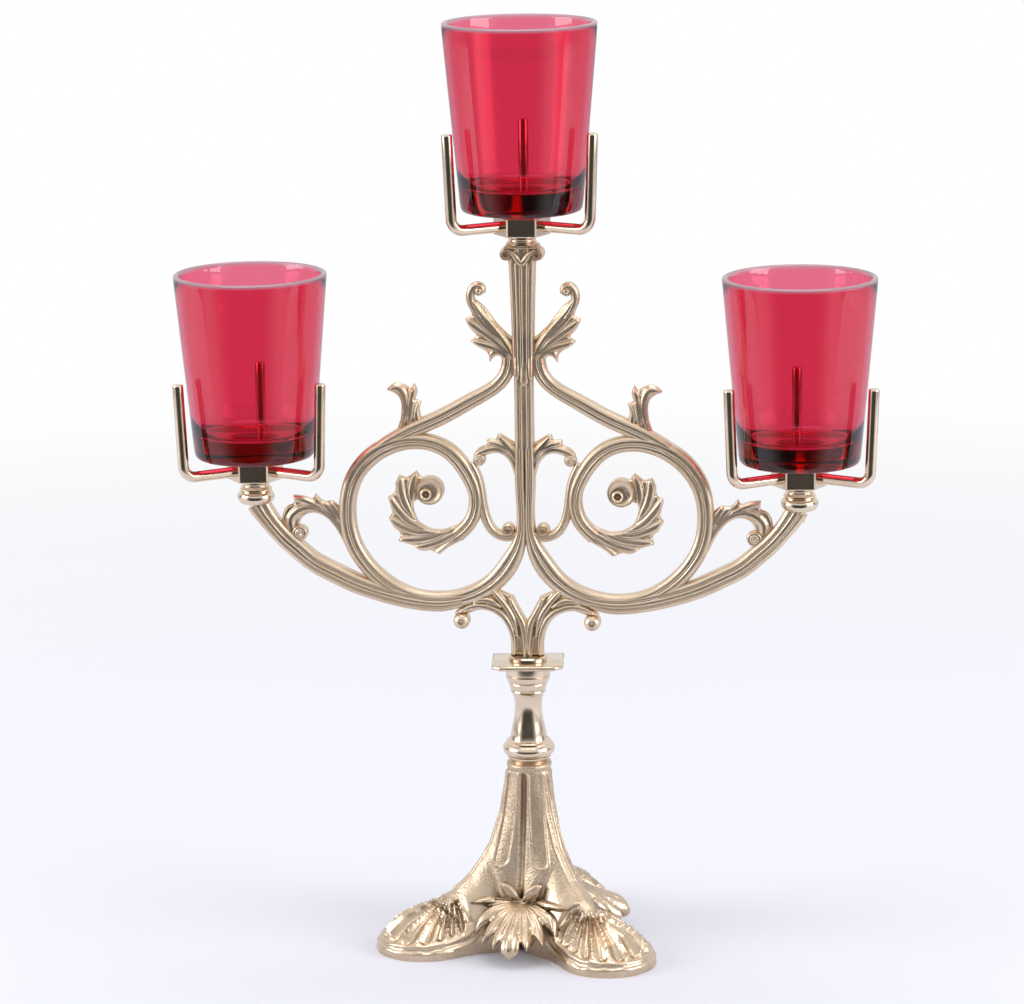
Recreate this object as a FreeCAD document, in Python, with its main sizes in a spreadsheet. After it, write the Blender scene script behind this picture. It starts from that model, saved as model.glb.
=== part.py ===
"""Three-light altar candelabra of cast and turned brass with red glass cups.

Millimetres, +Z up. The origin lies on the stem's axis, on the surface the foot stands on. The
scrollwork lies in the XZ plane, with the viewer on the -Y side and the left light at -X.
"""
import FreeCAD, Part
import math
import os

import Sketcher
from FreeCAD import Placement, Rotation, Vector

# Driving sizes: alias, value, what it measures. Lengths are millimetres, angles degrees.
SIZES = [
    ("foot_height", 73.4, "foot, floor to the baluster"),
    ("foot_reach", 62.6, "axis to the tip of a lobe"),
    ("foot_waist", 18.6, "cone of the foot at the floor"),
    ("lobe_radius", 19.0, "round rim of a lobe"),
    ("neck_half_width", 15.6, "axis of a lobe to its rim beside the cone"),
    ("dome_height", 17.4, "dome of a lobe"),
    ("dome_length", 24.2, "dome of a lobe, centre to tip"),
    ("dome_half_width", 19.2, "dome of a lobe, centre to side"),
    ("dome_setback", 6.0, "centre of a dome inside the centre of its rim"),
    ("ridge_radius", 9.5, "rounded ridge from cone to lobe"),
    ("ridge_start_radius", 8.0, "axis to the upper end of a ridge"),
    ("ridge_start_height", 29.0, "floor to the upper end of a ridge"),
    ("ridge_run", 30.0, "ridge, outwards"),
    ("ridge_drop", 21.0, "ridge, downwards"),
    ("foot_top_radius", 8.6, "round top of the foot"),
    ("foot_wall", 2.6, "thickness of the cast shell"),
    ("foot_rim_height", 4.6, "plain band round the lobes"),
    ("foot_ceiling", 51.0, "floor to the ceiling of the hollow"),
    ("foot_arch_height", 5.0, "opening between two lobes"),
    ("foot_arch_width", 15.0, "opening between two lobes"),
    ("palmette_reach", 37.5, "axis to the tip of a hanging palmette"),
    ("palmette_heart_radius", 16.5, "axis to the heart of a palmette"),
    ("palmette_width", 31.0, "palmette, side to side"),
    ("palmette_root_height", 23.5, "floor to the heart of a palmette"),
    ("palmette_tip_height", 2.6, "floor to the tip of a palmette"),
    ("palmette_thickness", 2.4, "palmette, front to back"),
    ("baluster_height", 39.5, "turned stem, foot to plate"),
    ("baluster_foot_radius", 8.4, "under the knob"),
    ("knob_radius", 10.5, "torus knob"),
    ("knob_height", 8.4, "torus knob"),
    ("step_radius", 7.7, "step over the knob"),
    ("step_height", 2.2, "step over the knob"),
    ("neck_radius", 5.15, "waist of the baluster"),
    ("neck_start", 20.0, "lower end of the waist"),
    ("neck_end", 25.0, "upper end of the waist"),
    ("shoulder_radius", 7.3, "flare under the top moulding"),
    ("shoulder_height", 31.0, "flare under the top moulding"),
    ("echinus_radius", 9.0, "quarter-round top"),
    ("echinus_height", 3.0, "straight band of the top"),
    ("plate_width", 28.4, "plate along the scrollwork"),
    ("plate_depth", 22.0, "plate, front to back"),
    ("plate_corner", 3.2, "clipped front corners"),
    ("plate_thickness", 2.0, "plate"),
    ("seat_radius", 7.6, "round seat under the scrollwork"),
    ("seat_height", 2.1, "round seat under the scrollwork"),
    ("rod_radius", 2.5, "tie rod"),
    ("rod_clearance", 0.3, "tie rod in the pieces it passes"),
    ("rod_reach_up", 10.0, "tie rod in the foot of the scrollwork"),
    ("rod_tail", 2.0, "tie rod below its nut"),
    ("washer_radius", 7.0, "washer under the ceiling of the foot"),
    ("washer_thickness", 1.2, "washer"),
    ("nut_flats", 8.0, "tie rod nut across flats"),
    ("nut_height", 4.0, "tie rod nut"),
    ("scroll_rise", 156.8, "foot of the scrollwork to the capital"),
    ("arm_reach", 106.9, "stem axis to the axis of a side light"),
    ("band_depth", 7.0, "ring scroll, front to back"),
    ("arm_depth", 7.6, "arm, front to back"),
    ("brace_depth", 6.6, "brace, front to back"),
    ("link_depth", 6.0, "s-link, front to back"),
    ("bracket_depth", 8.0, "foot bracket, front to back"),
    ("leaf_depth", 5.0, "leaves, front to back"),
    ("rosette_radius", 5.6, "rosette in the ring"),
    ("rosette_depth", 7.6, "rosette, front to back"),
    ("stem_depth", 8.4, "upper stem, front to back"),
    ("capital_height", 6.6, "capital"),
    ("capital_width", 17.0, "capital over its volutes"),
    ("capital_depth", 10.4, "capital, front to back"),
    ("volute_radius", 2.3, "volutes of the capital"),
    ("centre_collar_height", 4.0, "spool over the capital"),
    ("side_collar_height", 9.45, "spool and bead over an arm"),
    ("bead_radius", 7.3, "bead over an arm"),
    ("bead_height", 5.0, "bead over an arm"),
    ("spool_radius", 6.3, "spool at its ends"),
    ("spool_waist", 5.2, "spool at its waist"),
    ("hub_flats", 19.0, "hexagonal hub across flats"),
    ("hub_height", 7.5, "hexagonal hub"),
    ("hub_bevel", 0.6, "bevels of the hub"),
    ("prong_radius", 2.0, "bent prong"),
    ("prong_circle", 30.4, "light axis to a prong over its bend"),
    ("prong_bend", 5.0, "bend of a prong, centre line"),
    ("prong_height", 41.0, "foot of the hub to the tip of a prong"),
    ("prong_lean", 1.55, "how far a tip stands further out"),
    ("screw_radius", 2.0, "shank of a holder screw"),
    ("screw_length", 22.0, "shank of a holder screw"),
    ("screw_head_radius", 4.5, "head of a holder screw"),
    ("screw_head_height", 1.6, "head of a holder screw"),
    ("screw_slot_width", 1.0, "slot of a holder screw"),
    ("screw_slot_depth", 0.8, "slot of a holder screw"),
    ("glass_clearance", 0.3, "cup over the screw head"),
    ("glass_height", 72.5, "cup"),
    ("glass_top_radius", 30.0, "cup at its rim, outside"),
    ("glass_foot_radius", 23.5, "cup at its foot, outside"),
    ("glass_wall", 2.3, "wall of the cup"),
    ("glass_base", 8.7, "solid base of the cup"),
    ("glass_foot_round", 1.6, "rounded lower edge of the cup"),
    ("cut_overrun", 1.0, "how far a cutting shape runs past"),
]

# The scrollwork is drawn on squared paper. These shares say how many squares the reach of an arm
# and the rise of the scrollwork measure; every outline below counts squares from the axis and up.
ARM_REACH_SHARE = 27.3
SCROLL_RISE_SHARE = 39.3

# Strand beside the axis, round the ring and into the spiral: (across, up, half width).
RING_SHARES = [
    (0.47, 21.0, 0.50), (0.47, 16.5, 0.50), (0.70, 11.4, 0.68), (1.47, 9.65, 0.95),
    (3.13, 7.55, 0.95), (6.68, 5.74, 0.85), (8.53, 5.50, 0.78), (12.2, 6.07, 0.75),
    (15.1, 7.85, 0.80), (16.5, 9.40, 0.80), (17.5, 11.2, 0.82), (18.0, 14.4, 0.82),
    (17.3, 17.6, 0.87), (16.2, 19.2, 0.90), (14.6, 20.5, 0.90), (11.2, 21.5, 0.80),
    (8.10, 20.8, 0.78), (5.70, 18.1, 0.75), (5.05, 16.4, 0.70), (5.03, 14.9, 0.70),
    (5.55, 13.5, 0.72), (6.90, 12.1, 0.75),
]
ARM_SHARES = [
    (27.1, 16.3, 1.20), (26.5, 14.2, 1.02), (25.6, 12.9, 0.94), (24.5, 11.65, 0.94),
    (23.2, 10.5, 0.95), (21.7, 9.26, 0.95), (19.7, 8.18, 0.97), (17.3, 7.07, 0.97),
    (14.7, 6.21, 0.95), (12.3, 5.62, 0.94), (10.4, 5.33, 0.92), (8.50, 5.28, 0.90),
    (6.50, 5.62, 0.72),
]
BRACE_SHARES = [
    (1.43, 29.9, 0.70), (1.58, 28.8, 0.70), (2.23, 27.6, 0.70), (3.43, 26.6, 0.70),
    (5.03, 25.7, 0.74), (8.53, 23.8, 0.78), (11.7, 22.4, 0.76), (13.2, 21.6, 0.72),
    (14.5, 20.75, 0.66), (15.2, 20.05, 0.50),
]
LINK_SHARES = [
    (5.43, 19.3, 0.40), (4.88, 18.1, 0.45), (4.48, 16.4, 0.45), (4.28, 14.9, 0.45),
    (3.93, 13.6, 0.45), (3.33, 12.6, 0.45), (2.53, 12.1, 0.45), (1.60, 12.0, 0.42),
    (0.80, 12.3, 0.35),
]
# Upper stem: (half width, up), from its foot to the capital.
STEM_SHARES = [(0.92, 21.0), (0.93, 27.0), (1.00, 31.0), (1.13, 35.5), (1.30, 39.3)]
# Centres and radii of the volutes that end a leaf or a link: (across, up, radius in squares).
LINK_VOLUTE_SHARES = (1.75, 12.75, 0.66)
CENTRE_VOLUTE_SHARES = (4.55, 19.72, 0.64)
ARM_LEAF_VOLUTE_SHARES = (22.85, 12.15, 0.80)
BRACKET_VOLUTE_SHARES = (6.60, 3.45, 0.84)
UPPER_VOLUTE_SHARES = (4.70, 36.15, 0.84)
ROSETTE_SHARES = (9.48, 16.4)
ARM_END_SHARE = 15.1

# Leaf outlines. Each list is one stretch from the end of the one before, round where it has
# more than one point; the first point of the first stretch starts the outline.
UPPER_LEAF_SHARES = [
    [(0.5, 28.4), (1.9, 28.9)],
    [(2.10, 29.6), (2.53, 30.05), (3.03, 29.85), (3.38, 29.3)],
    [(3.60, 30.3), (4.53, 30.9), (5.28, 31.5)],
    [(4.53, 32.0)],
    [(5.20, 32.6), (5.78, 33.7)],
    [(5.03, 34.0)],
    [(5.42, 35.2), (5.45, 36.0)],
    [(4.30, 35.3), (2.53, 33.2), (1.28, 32.0)],
    [(0.5, 31.8)],
    [(0.5, 28.4)],
]
RING_LEAF_SHARES = [
    [(12.9, 22.3), (12.4, 23.8)],
    [(12.6, 25.9), (13.8, 26.6)],
    [(12.8, 27.3), (11.3, 26.7)],
    [(11.0, 27.3)],
    [(10.7, 26.3), (10.95, 25.7)],
    [(10.3, 25.4)],
    [(10.5, 24.6), (10.3, 23.8), (9.9, 22.6)],
    [(12.9, 22.3)],
]
ARM_LEAF_SHARES = [
    [(17.2, 9.4), (18.1, 10.5), (18.85, 11.9), (19.7, 13.2), (21.2, 14.1), (22.5, 13.75), (23.0, 12.9)],
    [(23.5, 11.6), (24.3, 12.0)],
    [(24.7, 13.4)],
    [(24.15, 14.75), (23.4, 15.05)],
    [(23.5, 15.9)],
    [(22.4, 15.8), (21.5, 15.5)],
    [(21.2, 16.1)],
    [(20.3, 15.3), (19.5, 15.35), (18.8, 14.8), (17.9, 14.6)],
    [(17.4, 11.2), (17.2, 9.4)],
]
BRACKET_SHARES = [
    [(1.70, 0.0), (1.70, 1.5), (2.05, 2.8), (2.75, 3.8), (3.70, 4.35), (4.86, 4.5), (5.75, 4.2)],
    [(7.30, 4.15), (6.5, 4.95), (5.6, 5.6)],
    [(3.6, 7.0)],
    [(2.5, 6.5), (1.36, 6.0)],
    [(1.00, 5.3), (0.35, 4.1), (-0.10, 3.3)],
    [(-0.10, 0.0)],
    [(1.70, 0.0)],
]
CENTRE_LEAF_SHARES = [
    [(0.60, 17.4), (1.00, 18.0), (1.48, 19.4), (2.63, 20.35), (3.95, 20.1)],
    [(5.10, 20.1), (4.68, 20.8), (3.70, 21.2)],
    [(3.78, 21.65), (2.83, 21.7)],
    [(2.63, 22.3), (1.80, 21.95), (0.60, 21.3)],
    [(0.60, 17.4)],
]
SPIRAL_LEAF_SHARES = [
    [(6.00, 12.6), (6.15, 11.95), (7.53, 11.0), (8.70, 10.1)],
    [(9.70, 10.5)],
    [(10.7, 10.45), (11.3, 10.9)],
    [(12.9, 11.4)],
    [(12.7, 12.1), (13.3, 12.7)],
    [(13.85, 13.7)],
    [(13.45, 14.2)],
    [(13.85, 15.85)],
    [(13.2, 16.3), (13.1, 17.2)],
    [(12.7, 18.05)],
    [(11.9, 17.8)],
    [(10.95, 18.5)],
    [(10.4, 17.8), (9.60, 16.9)],
    [(10.3, 15.7)],
    [(11.2, 15.4), (11.2, 14.3), (10.85, 13.5), (9.86, 12.8), (8.53, 12.6), (7.0, 13.1)],
    [(6.00, 12.6)],
]

# Foot: the height of each corner of its cone as a share of its height, and the radius there as a
# share of its waist.
FOOT_CONE_SHARES = [
    (0.0, 1.0), (0.14, 1.0), (0.30, 0.97), (0.42, 0.90), (0.56, 0.77), (0.74, 0.60), (0.89, 0.505),
]
LOBE_ANGLES = (80.0, 200.0, 320.0)
# Half a palmette, as shares of its half width and its length from heart to tip.
PALMETTE_SHARES = [
    (0.0, -0.10), (0.16, -0.34), (0.62, -0.52), (0.50, -0.22), (0.98, -0.08), (0.62, 0.16),
    (0.90, 0.36), (0.56, 0.46), (0.60, 0.74), (0.34, 0.66), (0.20, 0.86), (0.0, 1.0),
]

PRONG_ANGLES = (("back", 90.0), ("front_left", 210.0), ("front_right", 330.0))
HALF = 0.5
# Radius of the arc that rounds the foot of a cup, against the width of the rounding.
EDGE_ARC_SHARE = 1.1

doc = FreeCAD.newDocument("candelabra")
sheet = doc.addObject("Spreadsheet::Sheet", "Sizes")
for row, (alias, value, meaning) in enumerate(SIZES, start=1):
    sheet.set(f"A{row}", meaning)
    sheet.set(f"B{row}", str(value))
    sheet.setAlias(f"B{row}", alias)
doc.recompute()


class Length:
    """A size together with the expression that keeps it tied to the sheet."""

    def __init__(self, value, text):
        self.value = value
        self.text = text

    def __add__(self, other):
        return Length(self.value + other.value, f"({self.text} + {other.text})")

    def __sub__(self, other):
        return Length(self.value - other.value, f"({self.text} - {other.text})")

    def __mul__(self, share):
        return Length(self.value * share, f"({self.text} * {share})")

    def __neg__(self):
        return Length(-self.value, f"(-{self.text})")


def size(alias):
    """The named size from the sheet."""
    return Length(float(sheet.get(alias)), f"Sizes.{alias}")


ZERO = Length(0.0, "0")
FULL_TURN = 360.0


def slant(run, rise):
    """Length of the straight way out by run and up by rise."""
    return Length(math.hypot(run.value, rise.value), f"sqrt({run.text} ^ 2 + {rise.text} ^ 2)")


def quarter_sweep(run, rise):
    """Radius of an arc that starts upright and moves out by run while it climbs by rise."""
    value = (run.value ** 2 + rise.value ** 2) / (2 * run.value)
    return Length(value, f"(({run.text} ^ 2 + {rise.text} ^ 2) / (2 * {run.text}))")


# Heights of the joints up the stem, and along the scrollwork.
BALUSTER_FOOT = size("foot_height")
PLATE_FOOT = BALUSTER_FOOT + size("baluster_height")
SEAT_FOOT = PLATE_FOOT + size("plate_thickness")
SCROLL_FOOT = SEAT_FOOT + size("seat_height")
SCROLL_TOP = SCROLL_FOOT + size("scroll_rise")
CENTRE_COLLAR_FOOT = SCROLL_TOP + size("capital_height")
CENTRE_HUB_FOOT = CENTRE_COLLAR_FOOT + size("centre_collar_height")
SIDE_COLLAR_FOOT = SCROLL_FOOT + size("scroll_rise") * (ARM_END_SHARE / SCROLL_RISE_SHARE)
SIDE_HUB_FOOT = SIDE_COLLAR_FOOT + size("side_collar_height")


def across(squares):
    """Distance from the axis of a point on the squared drawing."""
    return size("arm_reach").value * squares / ARM_REACH_SHARE


def up(squares):
    """Height of a point on the squared drawing."""
    return SCROLL_FOOT.value + size("scroll_rise").value * squares / SCROLL_RISE_SHARE


def place(obj, left=ZERO, height=ZERO, turn=0.0):
    """Set a piece at its place: moved along X, lifted, and turned about the vertical."""
    obj.Placement = Placement(Vector(left.value, 0, height.value), Rotation(Vector(0, 0, 1), turn))
    if left.value:
        obj.setExpression("Placement.Base.x", left.text)
    if height.value:
        obj.setExpression("Placement.Base.z", height.text)


def add_sketch(body, role, name):
    """An empty sketch on one of the body's own origin planes."""
    plane = [feature for feature in body.Origin.OriginFeatures if feature.Role == role][0]
    sketch = body.newObject("Sketcher::SketchObject", name)
    sketch.AttachmentSupport = [(plane, "")]
    sketch.MapMode = "FlatFace"
    return sketch


def fix(sketch, kind, geometry, point, length):
    """Hold one coordinate of a sketch point at a length."""
    if length.value == 0:
        axis = -2 if kind == "DistanceX" else -1
        sketch.addConstraint(Sketcher.Constraint("PointOnObject", geometry, point, axis))
        return
    rule = Sketcher.Constraint(kind, -1, 1, geometry, point, length.value)
    index = sketch.addConstraint(rule)
    name = f"{kind}_{geometry}_{point}"
    sketch.renameConstraint(index, name)
    sketch.setExpression(f"Constraints.{name}", length.text)


def arc_between(start, end, radius, side):
    """The short arc between two points; side 1 bulges to the right of the way, -1 to the left."""
    chord = end - start
    middle = (start + end) * HALF
    reach = math.sqrt(max(radius ** 2 - (chord.Length * HALF) ** 2, 0.0))
    normal = Vector(-chord.y, chord.x, 0).normalize()
    centre = middle + normal * reach * side
    first, last = (start, end) if side > 0 else (end, start)
    angles = [math.atan2(point.y - centre.y, point.x - centre.x) for point in (first, last)]
    return Part.ArcOfCircle(Part.Circle(centre, Vector(0, 0, 1), radius), *angles)


def closed_profile(sketch, corners, arcs=()):
    """Draw corners (pairs of Lengths) joined by lines, or by arcs {corner: (radius, side)}."""
    arcs = dict(arcs)
    points = [Vector(x.value, y.value, 0) for x, y in corners]
    ends = []
    for index, point in enumerate(points):
        target = points[(index + 1) % len(points)]
        if index in arcs:
            radius, side = arcs[index]
            sketch.addGeometry(arc_between(point, target, radius.value, side), False)
            ends.append((1, 2) if side > 0 else (2, 1))
        else:
            sketch.addGeometry(Part.LineSegment(point, target), False)
            ends.append((1, 2))
    for index in range(len(points)):
        before = index - 1 if index else len(points) - 1
        rule = Sketcher.Constraint("Coincident", before, ends[before][1], index, ends[index][0])
        sketch.addConstraint(rule)
    for index, (x, y) in enumerate(corners):
        fix(sketch, "DistanceX", index, ends[index][0], x)
        fix(sketch, "DistanceY", index, ends[index][0], y)
    for index, (radius, side) in arcs.items():
        number = sketch.addConstraint(Sketcher.Constraint("Radius", index, radius.value))
        sketch.renameConstraint(number, f"radius_{index}")
        sketch.setExpression(f"Constraints.radius_{index}", radius.text)


def circle_profile(sketch, radius, across_at=ZERO, up_at=ZERO):
    """Draw one circle of a bound radius."""
    centre = Vector(across_at.value, up_at.value, 0)
    sketch.addGeometry(Part.Circle(centre, Vector(0, 0, 1), radius.value), False)
    fix(sketch, "DistanceX", 0, 3, across_at)
    fix(sketch, "DistanceY", 0, 3, up_at)
    number = sketch.addConstraint(Sketcher.Constraint("Radius", 0, radius.value))
    sketch.renameConstraint(number, "radius")
    sketch.setExpression("Constraints.radius", radius.text)


def turned(label, corners, arcs=()):
    """A piece turned about its own upright axis."""
    body = doc.addObject("PartDesign::Body", label)
    sketch = add_sketch(body, "XZ_Plane", f"{label}_profile")
    closed_profile(sketch, corners, arcs)
    spin = body.newObject("PartDesign::Revolution", f"{label}_turning")
    spin.Profile = sketch
    spin.ReferenceAxis = (sketch, ["V_Axis"])
    spin.Angle = FULL_TURN
    return body


def pad(body, sketch, length, symmetric=False):
    """Raise a sketch to a bound length."""
    feature = body.newObject("PartDesign::Pad", f"{sketch.Name}_pad")
    feature.Profile = sketch
    if symmetric:
        feature.SideType = "Symmetric"
    feature.Length = length.value
    feature.setExpression("Length", length.text)
    return feature


def drill(body, name, radius):
    """Drill a hole right through the body along its upright axis."""
    sketch = add_sketch(body, "XY_Plane", f"{name}_circle")
    circle_profile(sketch, radius)
    pocket = body.newObject("PartDesign::Pocket", name)
    pocket.Profile = sketch
    pocket.Type = "ThroughAll"
    pocket.SideType = "Symmetric"
    return pocket


def cylinder(name, radius, height, left=ZERO, foot=ZERO):
    """An upright cylinder used as a piece or as a cutting shape."""
    solid = doc.addObject("Part::Cylinder", name)
    solid.Radius = radius.value
    solid.Height = height.value
    solid.setExpression("Radius", radius.text)
    solid.setExpression("Height", height.text)
    place(solid, left, foot)
    return solid


def fused(name, shapes):
    """Several solids joined into one."""
    union = doc.addObject("Part::MultiFuse", name)
    union.Shapes = shapes
    return union


def cut_by(name, base, tools):
    """One solid less the solids it has to make room for."""
    cut = doc.addObject("Part::Cut", name)
    cut.Base = base
    cut.Tool = tools[0] if len(tools) == 1 else fused(f"{name}_cutters", tools)
    return cut


def smooth_edge(points):
    """A line between two points, or a smooth curve through more."""
    if len(points) == 2:
        return Part.LineSegment(points[0], points[1])
    curve = Part.BSplineCurve()
    curve.interpolate(points)
    return curve


def drawn(shares):
    """A point of the squared drawing in the sketch of the left side."""
    return Vector(-across(shares[0]), up(shares[1]), 0)


def flat_casting(label, edges, depth):
    """A flat casting: a closed outline in the scroll plane, as thick as depth about it."""
    body = doc.addObject("PartDesign::Body", label)
    sketch = add_sketch(body, "XZ_Plane", f"{label}_outline")
    for edge in edges:
        sketch.addGeometry(edge, False)
    pad(body, sketch, depth, symmetric=True)
    return body


def bar(label, shares, depth):
    """A bar whose half width changes along its centre line."""
    points = [drawn(entry) for entry in shares]
    sides = ([], [])
    for index, entry in enumerate(shares):
        ahead = points[min(index + 1, len(points) - 1)]
        behind = points[max(index - 1, 0)]
        way = (ahead - behind).normalize()
        normal = Vector(-way.y, way.x, 0)
        for side, sign in zip(sides, (1, -1)):
            side.append(points[index] + normal * across(entry[2]) * sign)
    near, far = sides
    edges = [
        smooth_edge(near),
        Part.LineSegment(near[-1], far[-1]),
        smooth_edge(far[::-1]),
        Part.LineSegment(far[0], near[0]),
    ]
    return flat_casting(label, edges, depth)


def leaf(label, stretches, depth):
    """A leaf whose outline is smooth between its tips."""
    edges = []
    start = None
    for stretch in stretches:
        points = [drawn(entry) for entry in stretch]
        if start is not None:
            points.insert(0, start)
        edges.append(smooth_edge(points))
        start = points[-1]
    return flat_casting(label, edges, depth)


def volute(name, shares, depth):
    """The round curl that ends a leaf: a short cylinder square to the scroll plane."""
    disc = doc.addObject("Part::Cylinder", name)
    disc.Radius = across(shares[2])
    disc.Height = depth.value
    disc.setExpression("Height", depth.text)
    centre = drawn(shares)
    lay_down = Rotation(Vector(1, 0, 0), 90)
    disc.Placement = Placement(Vector(centre.x, depth.value * HALF, centre.y), lay_down)
    disc.setExpression("Placement.Base.y", (depth * HALF).text)
    return disc


def polar_place(obj, angle, radius, height, tip=0.0):
    """Set a piece out from the axis in the direction angle, its own axis tipped outwards by tip."""
    ahead = radius * math.cos(math.radians(angle))
    aside = radius * math.sin(math.radians(angle))
    spin = Rotation(Vector(0, 0, 1), angle).multiply(Rotation(Vector(0, 1, 0), tip))
    obj.Placement = Placement(Vector(ahead.value, aside.value, height.value), spin)
    obj.setExpression("Placement.Base.x", ahead.text)
    obj.setExpression("Placement.Base.y", aside.text)
    obj.setExpression("Placement.Base.z", height.text)


def primitive(kind, name, lengths):
    """A box, cylinder or ellipsoid with its lengths bound to the sheet."""
    solid = doc.addObject(kind, name)
    for side, length in lengths.items():
        setattr(solid, side, length.value)
        solid.setExpression(side, length.text)
    return solid


def foot_form(name, inset):
    """The outer form of the foot, or with an inset the form of its hollow."""
    height = size("foot_height")
    waist = size("foot_waist")
    corners = [(ZERO, ZERO)]
    corners += [(waist * radius - inset, height * rise) for rise, radius in FOOT_CONE_SHARES]
    corners += [(size("foot_top_radius") - inset, height), (ZERO, height)]
    shapes = [turned(f"{name}_cone", corners)]

    lobe = size("lobe_radius")
    centre = size("foot_reach") - lobe
    rim = size("foot_rim_height")
    half_width = size("neck_half_width") - inset
    run = size("ridge_run")
    drop = size("ridge_drop")
    tip = math.degrees(math.atan2(run.value, -drop.value))
    for number, angle in enumerate(LOBE_ANGLES, start=1):
        band = primitive("Part::Cylinder", f"{name}_band_{number}", {
            "Radius": lobe - inset,
            "Height": rim,
        })
        polar_place(band, angle, centre, ZERO)
        neck = primitive("Part::Box", f"{name}_neck_{number}", {
            "Length": centre,
            "Width": half_width * 2,
            "Height": rim,
        })
        beside_axis(neck, angle, half_width, ZERO)
        dome = primitive("Part::Ellipsoid", f"{name}_dome_{number}", {
            "Radius1": size("dome_height") - inset,
            "Radius2": size("dome_length") - inset,
            "Radius3": size("dome_half_width") - inset,
        })
        polar_place(dome, angle, centre - size("dome_setback"), ZERO)
        ridge = primitive("Part::Cylinder", f"{name}_ridge_{number}", {
            "Radius": size("ridge_radius") - inset,
            "Height": slant(run, drop),
        })
        polar_place(ridge, angle, size("ridge_start_radius"), size("ridge_start_height"), tip)
        shapes += [band, neck, dome, ridge]
    return fused(name, shapes)


def beside_axis(box, angle, half_width, foot):
    """Turn a box to the direction angle, with the axis in the middle of its near side."""
    sideways = math.radians(angle - 90)
    box.Placement = Placement(Vector(0, 0, foot.value), Rotation(Vector(0, 0, 1), angle))
    box.setExpression("Placement.Base.x", (half_width * math.cos(sideways)).text)
    box.setExpression("Placement.Base.y", (half_width * math.sin(sideways)).text)
    box.setExpression("Placement.Base.z", foot.text)


def foot_slab(name, low, high):
    """A block wider than the foot, between two heights."""
    reach = size("foot_reach") * 2
    slab = primitive("Part::Box", name, {"Length": reach * 2, "Width": reach * 2, "Height": high - low})
    slab.setExpression("Placement.Base.x", (-reach).text)
    slab.setExpression("Placement.Base.y", (-reach).text)
    slab.setExpression("Placement.Base.z", low.text)
    return slab


def make_foot():
    """Hollow cast foot: cone, three scallop lobes with their ridges, and a palmette in each gap."""
    overrun = size("cut_overrun")
    reach = size("foot_reach")
    gaps = [angle + HALF * FULL_TURN / len(LOBE_ANGLES) for angle in LOBE_ANGLES]
    palmettes = [make_palmette(f"palmette_{number}", gap) for number, gap in enumerate(gaps, start=1)]
    whole = fused("foot_whole", [foot_form("foot_form", ZERO)] + palmettes)
    above = foot_slab("foot_ceiling_block", size("foot_ceiling"), size("foot_height") + reach)
    hollow = cut_by("foot_hollow", foot_form("foot_hollow_form", size("foot_wall")), [above])
    below = foot_slab("foot_floor", -reach, ZERO)
    bore = cylinder("foot_bore", size("rod_radius") + size("rod_clearance"), size("foot_height") + overrun)
    cutters = [hollow, below, bore]
    for number, gap in enumerate(gaps, start=1):
        arch = primitive("Part::Box", f"foot_arch_{number}", {
            "Length": reach,
            "Width": size("foot_arch_width"),
            "Height": size("foot_arch_height") + overrun,
        })
        beside_axis(arch, gap, size("foot_arch_width") * HALF, -overrun)
        cutters.append(arch)
    return cut_by("foot", whole, cutters)


def make_palmette(name, turn):
    """One leaf palmette hanging from the valley between two lobes."""
    heart = size("palmette_heart_radius")
    heart_height = size("palmette_root_height")
    run = size("palmette_reach") - heart
    drop = heart_height - size("palmette_tip_height")
    length = slant(run, drop)
    half_width = size("palmette_width") * HALF
    right = [(half_width * wide, length * far) for wide, far in PALMETTE_SHARES]
    left = [(-wide, far) for wide, far in right[-2:0:-1]]
    body = doc.addObject("PartDesign::Body", name)
    sketch = add_sketch(body, "XY_Plane", f"{name}_outline")
    closed_profile(sketch, right + left)
    plate = pad(body, sketch, size("palmette_thickness"))
    plate.Reversed = True
    polar_place(body, turn, heart, heart_height)
    hang = Rotation(Vector(1, 0, 0), -math.degrees(math.atan2(drop.value, run.value)))
    body.Placement.Rotation = Rotation(Vector(0, 0, 1), turn - 90).multiply(hang)
    return body


def make_baluster():
    """Turned stem: torus knob, step, waist, shoulder and quarter-round top."""
    bore = size("rod_radius") + size("rod_clearance")
    foot_radius = size("baluster_foot_radius")
    knob = size("knob_height")
    step = size("step_radius")
    step_top = knob + size("step_height")
    neck = size("neck_radius")
    neck_start = size("neck_start")
    neck_end = size("neck_end")
    shoulder = size("shoulder_radius")
    shoulder_top = size("shoulder_height")
    top = size("baluster_height")
    echinus = size("echinus_radius")
    echinus_foot = top - size("echinus_height")
    bulge = size("knob_radius") - foot_radius
    knob_arc = quarter_sweep(bulge, knob * HALF)
    lower_sweep = quarter_sweep(step - neck, neck_start - step_top)
    upper_sweep = quarter_sweep(shoulder - neck, shoulder_top - neck_end)
    corners = [
        (bore, ZERO), (foot_radius, ZERO), (foot_radius, knob), (step, knob), (step, step_top),
        (neck, neck_start), (neck, neck_end), (shoulder, shoulder_top), (echinus, echinus_foot),
        (echinus, top), (bore, top),
    ]
    arcs = {1: (knob_arc, 1), 4: (lower_sweep, -1), 6: (upper_sweep, -1),
            7: (top - shoulder_top, 1)}
    body = turned("baluster", corners, arcs)
    place(body, height=BALUSTER_FOOT)
    return body


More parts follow.
